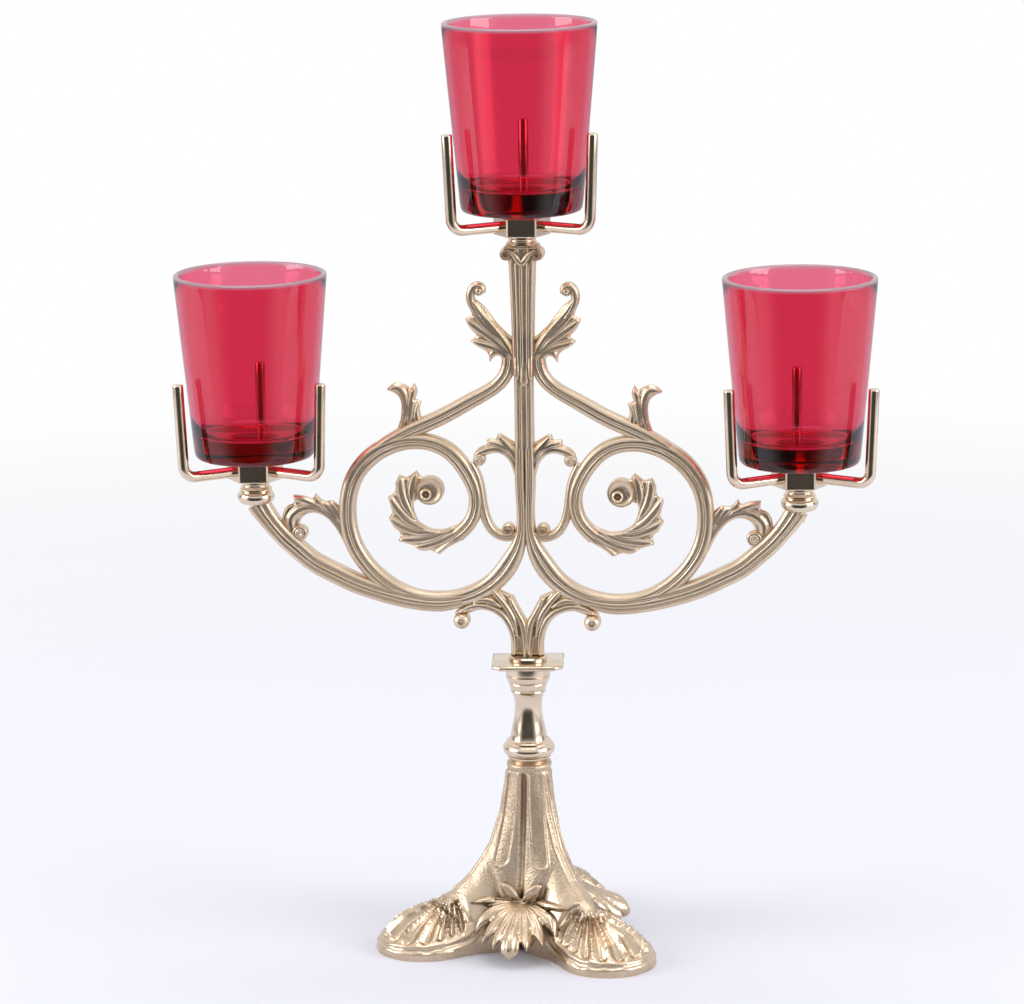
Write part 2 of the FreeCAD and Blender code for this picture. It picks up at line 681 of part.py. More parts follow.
def make_plate():
    """Thin plate with two clipped front corners, bored for the tie rod."""
    half_width = size("plate_width") * HALF
    half_depth = size("plate_depth") * HALF
    clip = size("plate_corner")
    body = doc.addObject("PartDesign::Body", "abacus_plate")
    sketch = add_sketch(body, "XY_Plane", "plate_outline")
    corners = [
        (-half_width, half_depth), (-half_width, -half_depth + clip), (-half_width + clip, -half_depth),
        (half_width - clip, -half_depth), (half_width, -half_depth + clip), (half_width, half_depth),
    ]
    closed_profile(sketch, corners)
    pad(body, sketch, size("plate_thickness"))
    drill(body, "plate_bore", size("rod_radius") + size("rod_clearance"))
    place(body, height=SEAT_FOOT - size("plate_thickness"))
    return body


def ring_disc(label, bore, radius, height, foot):
    """A flat turned ring."""
    corners = [(bore, ZERO), (radius, ZERO), (radius, height), (bore, height)]
    body = turned(label, corners)
    place(body, height=foot)
    return body


def make_clamp():
    """Tie rod with its washer and nut, up inside the foot."""
    ceiling = size("foot_ceiling")
    washer_foot = ceiling - size("washer_thickness")
    nut_foot = washer_foot - size("nut_height")
    rod_foot = nut_foot - size("rod_tail")
    rod_top = SCROLL_FOOT + size("rod_reach_up")
    rod = cylinder("tie_rod", size("rod_radius"), rod_top - rod_foot, foot=rod_foot)
    bore = size("rod_radius") + size("rod_clearance")
    washer = ring_disc("tie_washer", bore, size("washer_radius"), size("washer_thickness"), washer_foot)
    nut = hexagon("tie_nut", size("nut_flats"), size("nut_height"), size("rod_radius"))
    place(nut, height=nut_foot)
    return [rod, washer, nut]


def hexagon(label, flats, height, bore, bevel=None):
    """A hexagonal block with a flat towards the viewer, bored along its axis."""
    body = doc.addObject("PartDesign::Body", label)
    sketch = add_sketch(body, "XY_Plane", f"{label}_hexagon")
    half = flats * HALF
    corner = flats * (HALF / math.cos(math.pi / 6))
    side = corner * HALF
    corners = [(side, -half), (corner, ZERO), (side, half), (-side, half), (-corner, ZERO), (-side, -half)]
    closed_profile(sketch, corners)
    block = pad(body, sketch, height)
    if bevel:
        doc.recompute()
        level = [f"Edge{number}" for number, edge in enumerate(block.Shape.Edges, start=1)
                 if abs(edge.Vertexes[0].Z - edge.Vertexes[-1].Z) < bevel.value]
        chamfer = body.newObject("PartDesign::Chamfer", f"{label}_bevel")
        chamfer.Base = (block, level)
        chamfer.Size = bevel.value
        chamfer.setExpression("Size", bevel.text)
    drill(body, f"{label}_bore", bore)
    return body


def make_collar(label, height, bead, left, foot):
    """Turned spool; a side light's spool stands on a round bead."""
    bore = size("screw_radius") + size("rod_clearance") * HALF
    spool = size("spool_radius")
    waist = size("spool_waist")
    if bead is None:
        corners = [(bore, ZERO), (spool, ZERO), (spool, height), (bore, height)]
        arcs = {1: (quarter_sweep(spool - waist, height * HALF), -1)}
    else:
        corners = [(bore, ZERO), (spool, ZERO), (spool, bead), (spool, height), (bore, height)]
        bulge = quarter_sweep(size("bead_radius") - spool, bead * HALF)
        groove = quarter_sweep(spool - waist, (height - bead) * HALF)
        arcs = {1: (bulge, 1), 2: (groove, -1)}
    body = turned(label, corners, arcs)
    place(body, left=left, height=foot)
    return body


def make_prong(label, left, foot, angle):
    """One bent rod from a flat of the hub, out, up and leaning a little outwards."""
    start = size("hub_flats").value * HALF
    bend = size("prong_bend").value
    out = size("prong_circle").value
    lean = size("prong_lean").value
    rise = size("prong_height").value - size("hub_height").value * HALF
    tip = Vector(out + lean, rise, 0)
    tilt = math.atan2(lean, rise)
    turn = math.pi / 2 - tilt
    corner_x = out
    setback = bend * math.tan(turn * HALF)
    bend_start = Vector(corner_x - setback, 0, 0)
    bend_end = Vector(corner_x + setback * math.sin(tilt), setback * math.cos(tilt), 0)
    centre = Vector(bend_start.x, bend, 0)
    body = doc.addObject("PartDesign::Body", label)
    path = add_sketch(body, "XZ_Plane", f"{label}_path")
    path.addGeometry(Part.LineSegment(Vector(start, 0, 0), bend_start), False)
    circle = Part.Circle(centre, Vector(0, 0, 1), bend)
    path.addGeometry(Part.ArcOfCircle(circle, -math.pi / 2, -tilt), False)
    path.addGeometry(Part.LineSegment(bend_end, tip), False)
    path.addConstraint(Sketcher.Constraint("Tangent", 0, 2, 1, 1))
    path.addConstraint(Sketcher.Constraint("Tangent", 1, 2, 2, 1))
    path.addConstraint(Sketcher.Constraint("Horizontal", 0))
    fix(path, "DistanceY", 0, 1, ZERO)
    fix(path, "DistanceX", 0, 1, size("hub_flats") * HALF)
    fix(path, "DistanceX", 2, 2, size("prong_circle") + size("prong_lean"))
    fix(path, "DistanceY", 2, 2, size("prong_height") - size("hub_height") * HALF)
    number = path.addConstraint(Sketcher.Constraint("Radius", 1, bend))
    path.renameConstraint(number, "bend")
    path.setExpression("Constraints.bend", "Sizes.prong_bend")
    section = add_sketch(body, "YZ_Plane", f"{label}_section")
    section.AttachmentOffset = Placement(Vector(0, 0, start), Rotation())
    section.setExpression("AttachmentOffset.Base.z", (size("hub_flats") * HALF).text)
    circle_profile(section, size("prong_radius"))
    doc.recompute()
    pipe = body.newObject("PartDesign::AdditivePipe", f"{label}_rod")
    pipe.Profile = section
    pipe.Spine = (path, ["Edge1", "Edge2", "Edge3"])
    place(body, left=left, height=foot + size("hub_height") * HALF, turn=angle)
    return body


def make_screw(label, left, hub_foot):
    """Slotted screw that holds hub and collar down; the cup stands on its head."""
    head_foot = hub_foot + size("hub_height")
    length = size("screw_length")
    head = size("screw_head_height")
    shank = size("screw_radius")
    head_radius = size("screw_head_radius")
    corners = [(ZERO, ZERO), (shank, ZERO), (shank, length), (head_radius, length),
               (head_radius, length + head), (ZERO, length + head)]
    body = turned(label, corners)
    slot = add_sketch(body, "XZ_Plane", f"{label}_slot")
    half = size("screw_slot_width") * HALF
    top = length + head
    floor = top - size("screw_slot_depth")
    over = top + size("cut_overrun")
    closed_profile(slot, [(-half, floor), (half, floor), (half, over), (-half, over)])
    pocket = body.newObject("PartDesign::Pocket", f"{label}_slot_cut")
    pocket.Profile = slot
    pocket.Type = "ThroughAll"
    pocket.SideType = "Symmetric"
    place(body, left=left, height=head_foot - length)
    return body


def make_glass(label, left, hub_foot):
    """Tapered votive cup with a thick base."""
    foot = size("glass_foot_radius")
    top = size("glass_top_radius")
    wall = size("glass_wall")
    base = size("glass_base")
    height = size("glass_height")
    edge = size("glass_foot_round")
    inner_foot = foot - wall
    corners = [
        (ZERO, ZERO), (foot - edge, ZERO), (foot, edge), (top, height), (top - wall, height),
        (inner_foot, base + edge), (inner_foot - edge, base), (ZERO, base),
    ]
    arcs = {1: (edge * EDGE_ARC_SHARE, 1), 5: (edge * EDGE_ARC_SHARE, -1)}
    body = turned(label, corners, arcs)
    rest = hub_foot + size("hub_height") + size("screw_head_height") + size("glass_clearance")
    place(body, left=left, height=rest)
    return body


def make_light(side, left, collar_foot, hub_foot):
    """Hub, prongs, screw and cup of one light, with the spool they stand on."""
    pieces = []
    if side == "centre":
        height = size("centre_collar_height")
        pieces.append(make_collar("centre_collar", height, None, left, collar_foot))
    else:
        height = size("side_collar_height")
        pieces.append(make_collar(f"{side}_collar", height, size("bead_height"), left, collar_foot))
    screw_bore = size("screw_radius") + size("rod_clearance") * HALF
    hub = hexagon(f"{side}_hub", size("hub_flats"), size("hub_height"), screw_bore, size("hub_bevel"))
    place(hub, left=left, height=hub_foot)
    pieces.append(hub)
    for name, angle in PRONG_ANGLES:
        pieces.append(make_prong(f"{side}_prong_{name}", left, hub_foot, angle))
    pieces.append(make_screw(f"{side}_screw", left, hub_foot))
    pieces.append(make_glass(f"{side}_glass", left, hub_foot))
    return pieces


def make_stem():
    """Upper stem, tapering down, with the capital that carries the top light."""
    right = [Vector(across(wide), up(rise), 0) for wide, rise in STEM_SHARES]
    left = [Vector(-point.x, point.y, 0) for point in right]
    edges = [
        smooth_edge(right),
        Part.LineSegment(right[-1], left[-1]),
        smooth_edge(left[::-1]),
        Part.LineSegment(left[0], right[0]),
    ]
    blank = flat_casting("upper_stem_blank", edges, size("stem_depth"))
    hole = screw_hole("stem_screw_hole", ZERO, CENTRE_HUB_FOOT)
    stem = cut_by("upper_stem", blank, [hole])

    half_top = size("capital_width") * HALF
    curl = size("volute_radius")
    low = size("stem_depth") * HALF + size("hub_bevel")
    height = size("capital_height")
    body = doc.addObject("PartDesign::Body", "capital_block")
    sketch = add_sketch(body, "XZ_Plane", "capital_outline")
    neck = height - curl * 2
    arm = half_top - curl
    corners = [
        (-low, ZERO), (low, ZERO), (low, neck), (arm, neck),
        (arm, height), (-arm, height), (-arm, neck), (-low, neck),
    ]
    closed_profile(sketch, corners)
    pad(body, sketch, size("capital_depth"), symmetric=True)
    place(body, height=SCROLL_TOP)
    curls = []
    for name, sign in (("left", -1), ("right", 1)):
        disc = doc.addObject("Part::Cylinder", f"capital_{name}_curl")
        disc.setExpression("Radius", curl.text)
        disc.setExpression("Height", size("capital_depth").text)
        depth = size("capital_depth") * HALF
        centre = (half_top - curl) * sign
        rise = SCROLL_TOP + height - curl
        lay_down = Rotation(Vector(1, 0, 0), 90)
        disc.Placement = Placement(Vector(centre.value, depth.value, rise.value), lay_down)
        disc.setExpression("Placement.Base.x", centre.text)
        disc.setExpression("Placement.Base.y", depth.text)
        disc.setExpression("Placement.Base.z", rise.text)
        curls.append(disc)
    block = fused("capital_blank", [body] + curls)
    capital = cut_by("capital", block, [screw_hole("capital_screw_hole", ZERO, CENTRE_HUB_FOOT)])
    return stem, capital


def screw_hole(name, left, hub_foot):
    """The tapped hole that a holder screw fills."""
    foot = hub_foot + size("hub_height") - size("screw_length")
    return cylinder(name, size("screw_radius"), size("screw_length"), left, foot)


def half_space(name):
    """A block over everything right of the axis, to part the two halves of the casting."""
    block = doc.addObject("Part::Box", name)
    for side, length in (("Length", size("arm_reach")), ("Width", size("arm_reach")),
                         ("Height", size("scroll_rise"))):
        block.setExpression(side, length.text)
    block.Placement = Placement(Vector(0, 0, 0), Rotation())
    block.setExpression("Placement.Base.y", (-size("arm_reach") * HALF).text)
    block.setExpression("Placement.Base.z", SCROLL_FOOT.text)
    return block


def make_scrollwork(stem):
    """The left half of the scrollwork, piece by piece, then its mirror image."""
    leaf_depth = size("leaf_depth")
    right_of_axis = half_space("right_of_axis")
    ring = cut_by("left_ring_scroll", bar("ring_blank", RING_SHARES, size("band_depth")), [right_of_axis])

    above_arm = doc.addObject("Part::Box", "above_arm")
    above_arm.setExpression("Length", size("arm_reach").text)
    above_arm.setExpression("Width", size("arm_reach").text)
    above_arm.setExpression("Height", size("scroll_rise").text)
    above_arm.setExpression("Placement.Base.x", (-size("arm_reach") - size("bead_radius")).text)
    above_arm.setExpression("Placement.Base.y", (-size("arm_reach") * HALF).text)
    above_arm.setExpression("Placement.Base.z", SIDE_COLLAR_FOOT.text)
    arm_hole = screw_hole("arm_screw_hole", -size("arm_reach"), SIDE_HUB_FOOT)
    arm_blank = bar("arm_blank", ARM_SHARES, size("arm_depth"))
    arm = cut_by("left_arm", arm_blank, [ring, above_arm, arm_hole])

    brace = cut_by("left_brace", bar("brace_blank", BRACE_SHARES, size("brace_depth")), [ring, stem])

    link_bar = bar("link_bar", LINK_SHARES, size("link_depth"))
    link_curl = volute("link_curl", LINK_VOLUTE_SHARES, size("link_depth"))
    link = cut_by("left_s_link", fused("link_blank", [link_bar, link_curl]), [ring])

    bracket_leaf = leaf("bracket_leaf", BRACKET_SHARES, size("bracket_depth"))
    bracket_curl = volute("bracket_curl", BRACKET_VOLUTE_SHARES, size("bracket_depth"))
    bracket_blank = fused("bracket_blank", [bracket_leaf, bracket_curl])
    rod_hole = cylinder("rod_hole", size("rod_radius"), size("rod_reach_up"), foot=SCROLL_FOOT)
    bracket = cut_by("left_foot_bracket", bracket_blank, [ring, arm_blank, right_of_axis, rod_hole])

    upper_blank = fused("upper_leaf_blank", [
        leaf("upper_leaf_outline", UPPER_LEAF_SHARES, leaf_depth),
        volute("upper_leaf_curl", UPPER_VOLUTE_SHARES, leaf_depth),
    ])
    upper_leaf = cut_by("left_upper_leaf", upper_blank, [brace, stem])

    ring_leaf_blank = leaf("ring_leaf_blank", RING_LEAF_SHARES, leaf_depth)
    ring_leaf = cut_by("left_ring_leaf", ring_leaf_blank, [brace, ring])

    arm_leaf_blank = fused("arm_leaf_blank", [
        leaf("arm_leaf_outline", ARM_LEAF_SHARES, leaf_depth),
        volute("arm_leaf_curl", ARM_LEAF_VOLUTE_SHARES, leaf_depth),
    ])
    arm_leaf = cut_by("left_arm_leaf", arm_leaf_blank, [ring, arm])

    centre_blank = fused("centre_leaf_blank", [
        leaf("centre_leaf_outline", CENTRE_LEAF_SHARES, leaf_depth),
        volute("centre_leaf_curl", CENTRE_VOLUTE_SHARES, leaf_depth),
    ])
    centre_leaf = cut_by("left_centre_leaf", centre_blank, [ring, stem, link])

    rosette = doc.addObject("Part::Cylinder", "left_rosette")
    rosette.setExpression("Radius", size("rosette_radius").text)
    rosette.setExpression("Height", size("rosette_depth").text)
    centre = drawn(ROSETTE_SHARES)
    depth = size("rosette_depth") * HALF
    rosette.Placement = Placement(Vector(centre.x, depth.value, centre.y), Rotation(Vector(1, 0, 0), 90))
    rosette.setExpression("Placement.Base.y", depth.text)
    spiral_blank = leaf("spiral_leaf_blank", SPIRAL_LEAF_SHARES, leaf_depth)
    spiral_leaf = cut_by("left_spiral_leaf", spiral_blank, [ring, rosette])

    left_side = [ring, arm, brace, link, bracket, upper_leaf, ring_leaf, arm_leaf, centre_leaf,
                 rosette, spiral_leaf]
    right_side = []
    for piece in left_side:
        mirror = doc.addObject("Part::Mirroring", piece.Name.replace("left_", "right_"))
        mirror.Source = piece
        mirror.Base = Vector(0, 0, 0)
        mirror.Normal = Vector(1, 0, 0)
        right_side.append(mirror)
    return left_side + right_side


def check_and_export(pieces):
    """Stop on any failed object or bad solid, then write one file for each piece."""
    doc.recompute()
    failed = [item.Name for item in doc.Objects if "Invalid" in item.State or "Error" in item.State]
    if failed:
        raise RuntimeError(f"objects that failed: {failed}")
    os.makedirs("parts", exist_ok=True)
    for piece in pieces:
        shape = piece.Shape
        if shape.isNull() or not shape.isValid():
            raise RuntimeError(f"{piece.Label} has no valid shape")
        box = shape.BoundBox
        print(
            f"{piece.Label:28s} solids {len(shape.Solids)} volume {shape.Volume:9.1f} "
            f"x {box.XMin:7.1f} {box.XMax:7.1f} z {box.ZMin:6.1f} {box.ZMax:6.1f}"
        )
    for piece in pieces:
        piece.Shape.exportStep(f"parts/{piece.Label}.step")


def main():
    """Build every piece of the candelabra."""
    pieces = [make_foot(), make_baluster(), make_plate()]
    rod_bore = size("rod_radius") + size("rod_clearance")
    pieces.append(ring_disc("seat_ring", rod_bore, size("seat_radius"), size("seat_height"), SEAT_FOOT))
    pieces += make_clamp()
    stem, capital = make_stem()
    pieces += [stem, capital]
    pieces += make_scrollwork(stem)
    pieces += make_light("centre", ZERO, CENTRE_COLLAR_FOOT, CENTRE_HUB_FOOT)
    for side, sign in (("left", -1), ("right", 1)):
        pieces += make_light(side, size("arm_reach") * sign, SIDE_COLLAR_FOOT, SIDE_HUB_FOOT)
    check_and_export(pieces)


main()
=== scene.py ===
"""Looks of a three-light altar candelabra: cast and turned brass with ruby glass cups.

Everything is in millimetres on the way in and in metres in Blender. The scrollwork is described on
a squared drawing: squares across from the stem's axis and squares up from the scrollwork's foot.
"""

import logging
import math
from dataclasses import dataclass
from enum import Enum
from typing import Callable, Iterable, Sequence

import bmesh
import bpy
import numpy as np
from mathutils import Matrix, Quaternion, Vector

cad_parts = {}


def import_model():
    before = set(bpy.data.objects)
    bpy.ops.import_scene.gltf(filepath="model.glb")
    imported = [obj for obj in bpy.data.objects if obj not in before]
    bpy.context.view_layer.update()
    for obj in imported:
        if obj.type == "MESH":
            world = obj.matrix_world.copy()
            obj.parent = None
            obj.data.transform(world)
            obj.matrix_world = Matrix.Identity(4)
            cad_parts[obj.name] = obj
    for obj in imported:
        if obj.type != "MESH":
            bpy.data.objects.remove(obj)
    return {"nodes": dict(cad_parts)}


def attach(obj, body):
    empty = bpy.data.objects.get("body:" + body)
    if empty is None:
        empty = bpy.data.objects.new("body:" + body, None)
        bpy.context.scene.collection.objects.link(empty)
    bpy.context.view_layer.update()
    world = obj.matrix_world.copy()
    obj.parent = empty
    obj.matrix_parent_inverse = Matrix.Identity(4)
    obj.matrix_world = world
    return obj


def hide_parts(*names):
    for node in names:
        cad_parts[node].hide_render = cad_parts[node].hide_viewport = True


log = logging.getLogger("candelabra")
MM = 0.001
ARM_REACH = 106.9
FOOT_TOP = 73.4
# A square of the drawing in millimetres, from two sizes that are known in both.
SQUARE_ACROSS = ARM_REACH / 27.3
SQUARE_UP = 156.8 / 39.3
SCROLL_FOOT = 117.0
VEIN_POINTS = 26
# A wave texture of scale 1 repeats about every 0.31 m.
WAVE_PERIOD = 0.31
STAND = "stand"
# Name of the mesh attribute that marks where the cups' rims get a painted pale highlight.
PAINTED_RIM_HIGHLIGHT = "painted_rim_highlight"
# Side, X of the axis, foot of the collar and foot of the hub, in millimetres.
LIGHTS = (
    ("centre", 0.0, 280.4, 284.4),
    ("left", -ARM_REACH, 177.24, 186.69),
    ("right", ARM_REACH, 177.24, 186.69),
)

Rows = list[np.ndarray]


# Colours and nodes


def linear(text: str) -> tuple[float, float, float, float]:
    """Turn an sRGB hex colour into linear RGBA.

    Args:
        text: the colour as six hex digits.

    Returns:
        The linear colour with alpha 1.
    """
    parts = [int(text[index:index + 2], 16) / 255 for index in (0, 2, 4)]
    red, green, blue = (
        part / 12.92 if part <= 0.04045 else ((part + 0.055) / 1.055) ** 2.4 for part in parts
    )
    return (red, green, blue, 1.0)


def add_node(
    tree: bpy.types.NodeTree,
    kind: str,
    settings: dict[str, object] | None = None,
    links: dict[str | int, bpy.types.NodeSocket] | None = None,
) -> bpy.types.Node:
    """Add one shader node with its settings and its incoming links.

    Args:
        tree: the node tree to add to.
        kind: the node's type name.
        settings: properties of the node, or values of its inputs, by name.
        links: sockets to link to the node's inputs, by input name or number.

    Returns:
        The new node.
    """
    node = tree.nodes.new(kind)
    for name, value in (settings or {}).items():
        if isinstance(name, str) and hasattr(node, name):
            setattr(node, name, value)
        else:
            node.inputs[name].default_value = value
    for name, socket in (links or {}).items():
        tree.links.new(socket, node.inputs[name])
    return node


def new_material(name: str) -> tuple[bpy.types.Material, bpy.types.NodeTree]:
    """Make an empty node material.

    Args:
        name: the material's name.

    Returns:
        The material and its cleared node tree.
    """
    material = bpy.data.materials.new(name)
    material.use_nodes = True
    material.node_tree.nodes.clear()
    return material, material.node_tree


# Finishes


@dataclass(frozen=True)
class CastBrass:
    """Pale yellow brass, sand cast, then hand finished and buffed.

    Casting leaves a fine grain, and a stippled ground has small pits that hold tarnish. Hollows and
    creases are painted darker and browner from an occlusion mask: this is painted shade.
    ridges, so ridges shine and hollows stay duller and browner.
    """

    name: str
    colour: str = "E1CEB6"
    tarnish: str = "C4AD90"
    # Colour of the painted shade in hollows and creases; the stipple pits also take it as tarnish.
    hollow: str = "A48864"
    roughness: float = 0.37
    # Real casting grain is 0.1 to 0.2 mm, too fine to show here, so it is drawn coarser.
    grain_mm: float = 0.8
    grain_depth_mm: float = 0.10
    patch_mm: float = 14.0
    # Reach of the occlusion mask that paints shade into hollows, and how far that shade darkens them.
    hollow_reach_mm: float = 1.6
    hollow_share: float = 0.62
    stipple_mm: float = 0.0
    stipple_depth_mm: float = 0.35
    stipple_foot_mm: float = 19.0
    stipple_fade_mm: float = 8.0
    pit_share: float = 0.26
    stipple_roughness: float = 0.45

    def material(self) -> bpy.types.Material:
        """Build the shader.

        Returns:
            The brass material.
        """
        material, tree = new_material(self.name)
        place = add_node(tree, "ShaderNodeTexCoord").outputs["Object"]
        patches = add_node(
            tree, "ShaderNodeTexNoise",
            {"Scale": 1 / (self.patch_mm * MM), "Detail": 3.0, "Roughness": 0.55}, {"Vector": place},
        ).outputs["Fac"]
        patch_share = add_node(
            tree, "ShaderNodeMapRange",
            {"From Min": 0.40, "From Max": 0.75, "To Min": 0.0, "To Max": 0.6}, {"Value": patches},
        ).outputs["Result"]
        body = add_node(
            tree, "ShaderNodeMix", {"data_type": "RGBA", 6: linear(self.colour), 7: linear(self.tarnish)},
            {"Factor": patch_share},
        )
        # Painted shade: an occlusion mask darkens hollows and creases towards the shade colour.
        depth = add_node(
            tree, "ShaderNodeAmbientOcclusion",
            {"samples": 5, "only_local": True, "Distance": self.hollow_reach_mm * MM},
        ).outputs["AO"]
        unshaded_share = add_node(
            tree, "ShaderNodeMapRange",
            {"From Min": 0.15, "From Max": 0.80, "To Min": 1 - self.hollow_share, "To Max": 1.0},
            {"Value": depth},
        ).outputs["Result"]
        toned = add_node(
            tree, "ShaderNodeMix", {"data_type": "RGBA", 6: linear(self.hollow)},
            {"Factor": unshaded_share, 7: body.outputs[2]},
        ).outputs[2]
        grain = add_node(
            tree, "ShaderNodeTexNoise",
            {"Scale": 1 / (self.grain_mm * MM), "Detail": 2.0}, {"Vector": place},
        ).outputs["Fac"]
        rough = add_node(
            tree, "ShaderNodeMapRange",
            {"From Min": 0.3, "From Max": 0.7, "To Min": self.roughness * 0.8,
             "To Max": self.roughness * 1.3},
            {"Value": patches},
        ).outputs["Result"]
        bump = add_node(
            tree, "ShaderNodeBump", {"Strength": 0.7, "Distance": self.grain_depth_mm * MM},
            {"Height": grain},
        ).outputs["Normal"]
        if self.stipple_mm:
            pits, share = self.pits(tree, place)
            toned = add_node(
                tree, "ShaderNodeMix", {"data_type": "RGBA", 7: linear(self.hollow)},
                {"Factor": pits, 6: toned},
            ).outputs[2]
            bump = add_node(
                tree, "ShaderNodeBump",
                {"Strength": 0.8, "Distance": self.stipple_depth_mm * MM, "invert": True},
                {"Height": pits, "Normal": bump},
            ).outputs["Normal"]
            rough = add_node(
                tree, "ShaderNodeMix", {"data_type": "FLOAT", 3: self.stipple_roughness},
                {"Factor": share, 2: rough},
            ).outputs[0]
        shader = add_node(
            tree, "ShaderNodeBsdfPrincipled", {"Metallic": 1.0},
            {"Base Color": toned, "Roughness": rough, "Normal": bump},
        )
        add_node(tree, "ShaderNodeOutputMaterial", None, {"Surface": shader.outputs[0]})
        return material

    def pits(
        self, tree: bpy.types.NodeTree, place: bpy.types.NodeSocket
    ) -> tuple[bpy.types.NodeSocket, bpy.types.NodeSocket]:
        """Punch the ground of the shaft with fine round pits that hold tarnish.

        Args:
            tree: the material's tree.
            place: the object's coordinates.

        Returns:
            The pits, and the share of them that shows at this height.
        """
        dots = add_node(
            tree, "ShaderNodeTexVoronoi", {"Scale": 1 / (self.stipple_mm * MM)}, {"Vector": place},
        ).outputs["Distance"]
        round_pits = add_node(
            tree, "ShaderNodeMapRange",
            {"From Min": 0.10, "From Max": 0.60, "To Min": self.pit_share, "To Max": 0.0}, {"Value": dots},
        ).outputs["Result"]
        height = add_node(tree, "ShaderNodeSeparateXYZ", None, {"Vector": place}).outputs["Z"]
        share = add_node(
            tree, "ShaderNodeMapRange",
            {"From Min": self.stipple_foot_mm * MM,
             "From Max": (self.stipple_foot_mm + self.stipple_fade_mm) * MM},
            {"Value": height},
        ).outputs["Result"]
        shown = add_node(
            tree, "ShaderNodeMath", {"operation": "MULTIPLY"}, {0: round_pits, 1: share},
        ).outputs[0]
        return shown, share


@dataclass(frozen=True)
class TurnedBrass:
    """Brass bar turned on a lathe and polished: mirror bright, with faint rings of the tool."""

    name: str
    colour: str = "E2D0BA"
    tarnish: str = "CBB497"
    roughness: float = 0.15
    # A lathe tool leaves rings 0.05 to 0.1 mm apart, too fine to show here, so they are drawn coarser.
    ring_mm: float = 0.35
    ring_depth_mm: float = 0.006
    haze_mm: float = 6.0

    def material(self) -> bpy.types.Material:
        """Build the shader.

        Returns:
            The polished brass material.
        """
        material, tree = new_material(self.name)
        place = add_node(tree, "ShaderNodeTexCoord").outputs["Object"]
        rings = add_node(
            tree, "ShaderNodeTexWave",
            {"wave_type": "BANDS", "bands_direction": "Z", "Scale": WAVE_PERIOD / (self.ring_mm * MM),
             "Distortion": 1.5, "Detail": 1.0},
            {"Vector": place},
        ).outputs["Fac"]
        haze = add_node(
            tree, "ShaderNodeTexNoise", {"Scale": 1 / (self.haze_mm * MM), "Detail": 4.0}, {"Vector": place},
        ).outputs["Fac"]
        rough = add_node(
            tree, "ShaderNodeMapRange",
            {"From Min": 0.3, "From Max": 0.7, "To Min": self.roughness * 0.7,
             "To Max": self.roughness * 1.5},
            {"Value": haze},
        ).outputs["Result"]
        share = add_node(
            tree, "ShaderNodeMapRange",
            {"From Min": 0.45, "From Max": 0.8, "To Min": 0.0, "To Max": 0.4}, {"Value": haze},
        ).outputs["Result"]
        tone = add_node(
            tree, "ShaderNodeMix", {"data_type": "RGBA", 6: linear(self.colour), 7: linear(self.tarnish)},
            {"Factor": share},
        )
        bump = add_node(
            tree, "ShaderNodeBump", {"Strength": 0.5, "Distance": self.ring_depth_mm * MM}, {"Height": rings},
        ).outputs["Normal"]
        shader = add_node(
            tree, "ShaderNodeBsdfPrincipled", {"Metallic": 1.0},
            {"Base Color": tone.outputs[2], "Roughness": rough, "Normal": bump},
        )
        add_node(tree, "ShaderNodeOutputMaterial", None, {"Surface": shader.outputs[0]})
        return material


@dataclass(frozen=True)
class RubyGlass:
    """Soda glass dyed ruby through and pressed in a mould.

    The dye takes more light where the glass is thicker, so the walls are clear crimson and the
    solid base goes nearly black; the mould leaves a slight wave in the walls. The rim is painted
    pale and slightly frosted: a painted highlight, standing for the light that the rim catches.
    """

    name: str
    colour: str = "F592AB"
    dye: str = "E91888"
    dye_per_m: float = 240.0
    roughness: float = 0.01
    wave_mm: float = 22.0
    wave_depth_mm: float = 0.05
    # Colour, clearness and roughness of the painted highlight along the rim.
    rim_highlight: str = "D2B2BB"
    rim_highlight_clear: float = 0.50
    rim_highlight_roughness: float = 0.22

    def material(self) -> bpy.types.Material:
        """Build the shader.

        Returns:
            The ruby glass material.
        """
        material, tree = new_material(self.name)
        place = add_node(tree, "ShaderNodeTexCoord").outputs["Object"]
        waves = add_node(
            tree, "ShaderNodeTexNoise", {"Scale": 1 / (self.wave_mm * MM), "Detail": 1.0}, {"Vector": place},
        ).outputs["Fac"]
        bump = add_node(
            tree, "ShaderNodeBump", {"Strength": 0.4, "Distance": self.wave_depth_mm * MM}, {"Height": waves},
        ).outputs["Normal"]
        # Painted highlight: the marked rim is paler and less clear, standing for the light it catches.
        rim_highlight = add_node(tree, "ShaderNodeAttribute", {"attribute_name": PAINTED_RIM_HIGHLIGHT}).outputs["Fac"]
        colour = add_node(
            tree, "ShaderNodeMix", {"data_type": "RGBA", 6: linear(self.colour), 7: linear(self.rim_highlight)},
            {"Factor": rim_highlight},
        ).outputs[2]
        clear = add_node(
            tree, "ShaderNodeMapRange", {"To Min": 1.0, "To Max": self.rim_highlight_clear}, {"Value": rim_highlight},
        ).outputs["Result"]
        rough = add_node(
            tree, "ShaderNodeMapRange", {"To Min": self.roughness, "To Max": self.rim_highlight_roughness},
            {"Value": rim_highlight},
        ).outputs["Result"]
        shader = add_node(
            tree, "ShaderNodeBsdfPrincipled", {"IOR": 1.5},
            {"Base Color": colour, "Transmission Weight": clear, "Roughness": rough, "Normal": bump},
        )
        dye = add_node(
            tree, "ShaderNodeVolumeAbsorption", {"Color": linear(self.dye), "Density": self.dye_per_m},
        )
        add_node(
            tree, "ShaderNodeOutputMaterial", None, {"Surface": shader.outputs[0], "Volume": dye.outputs[0]},
        )
        return material


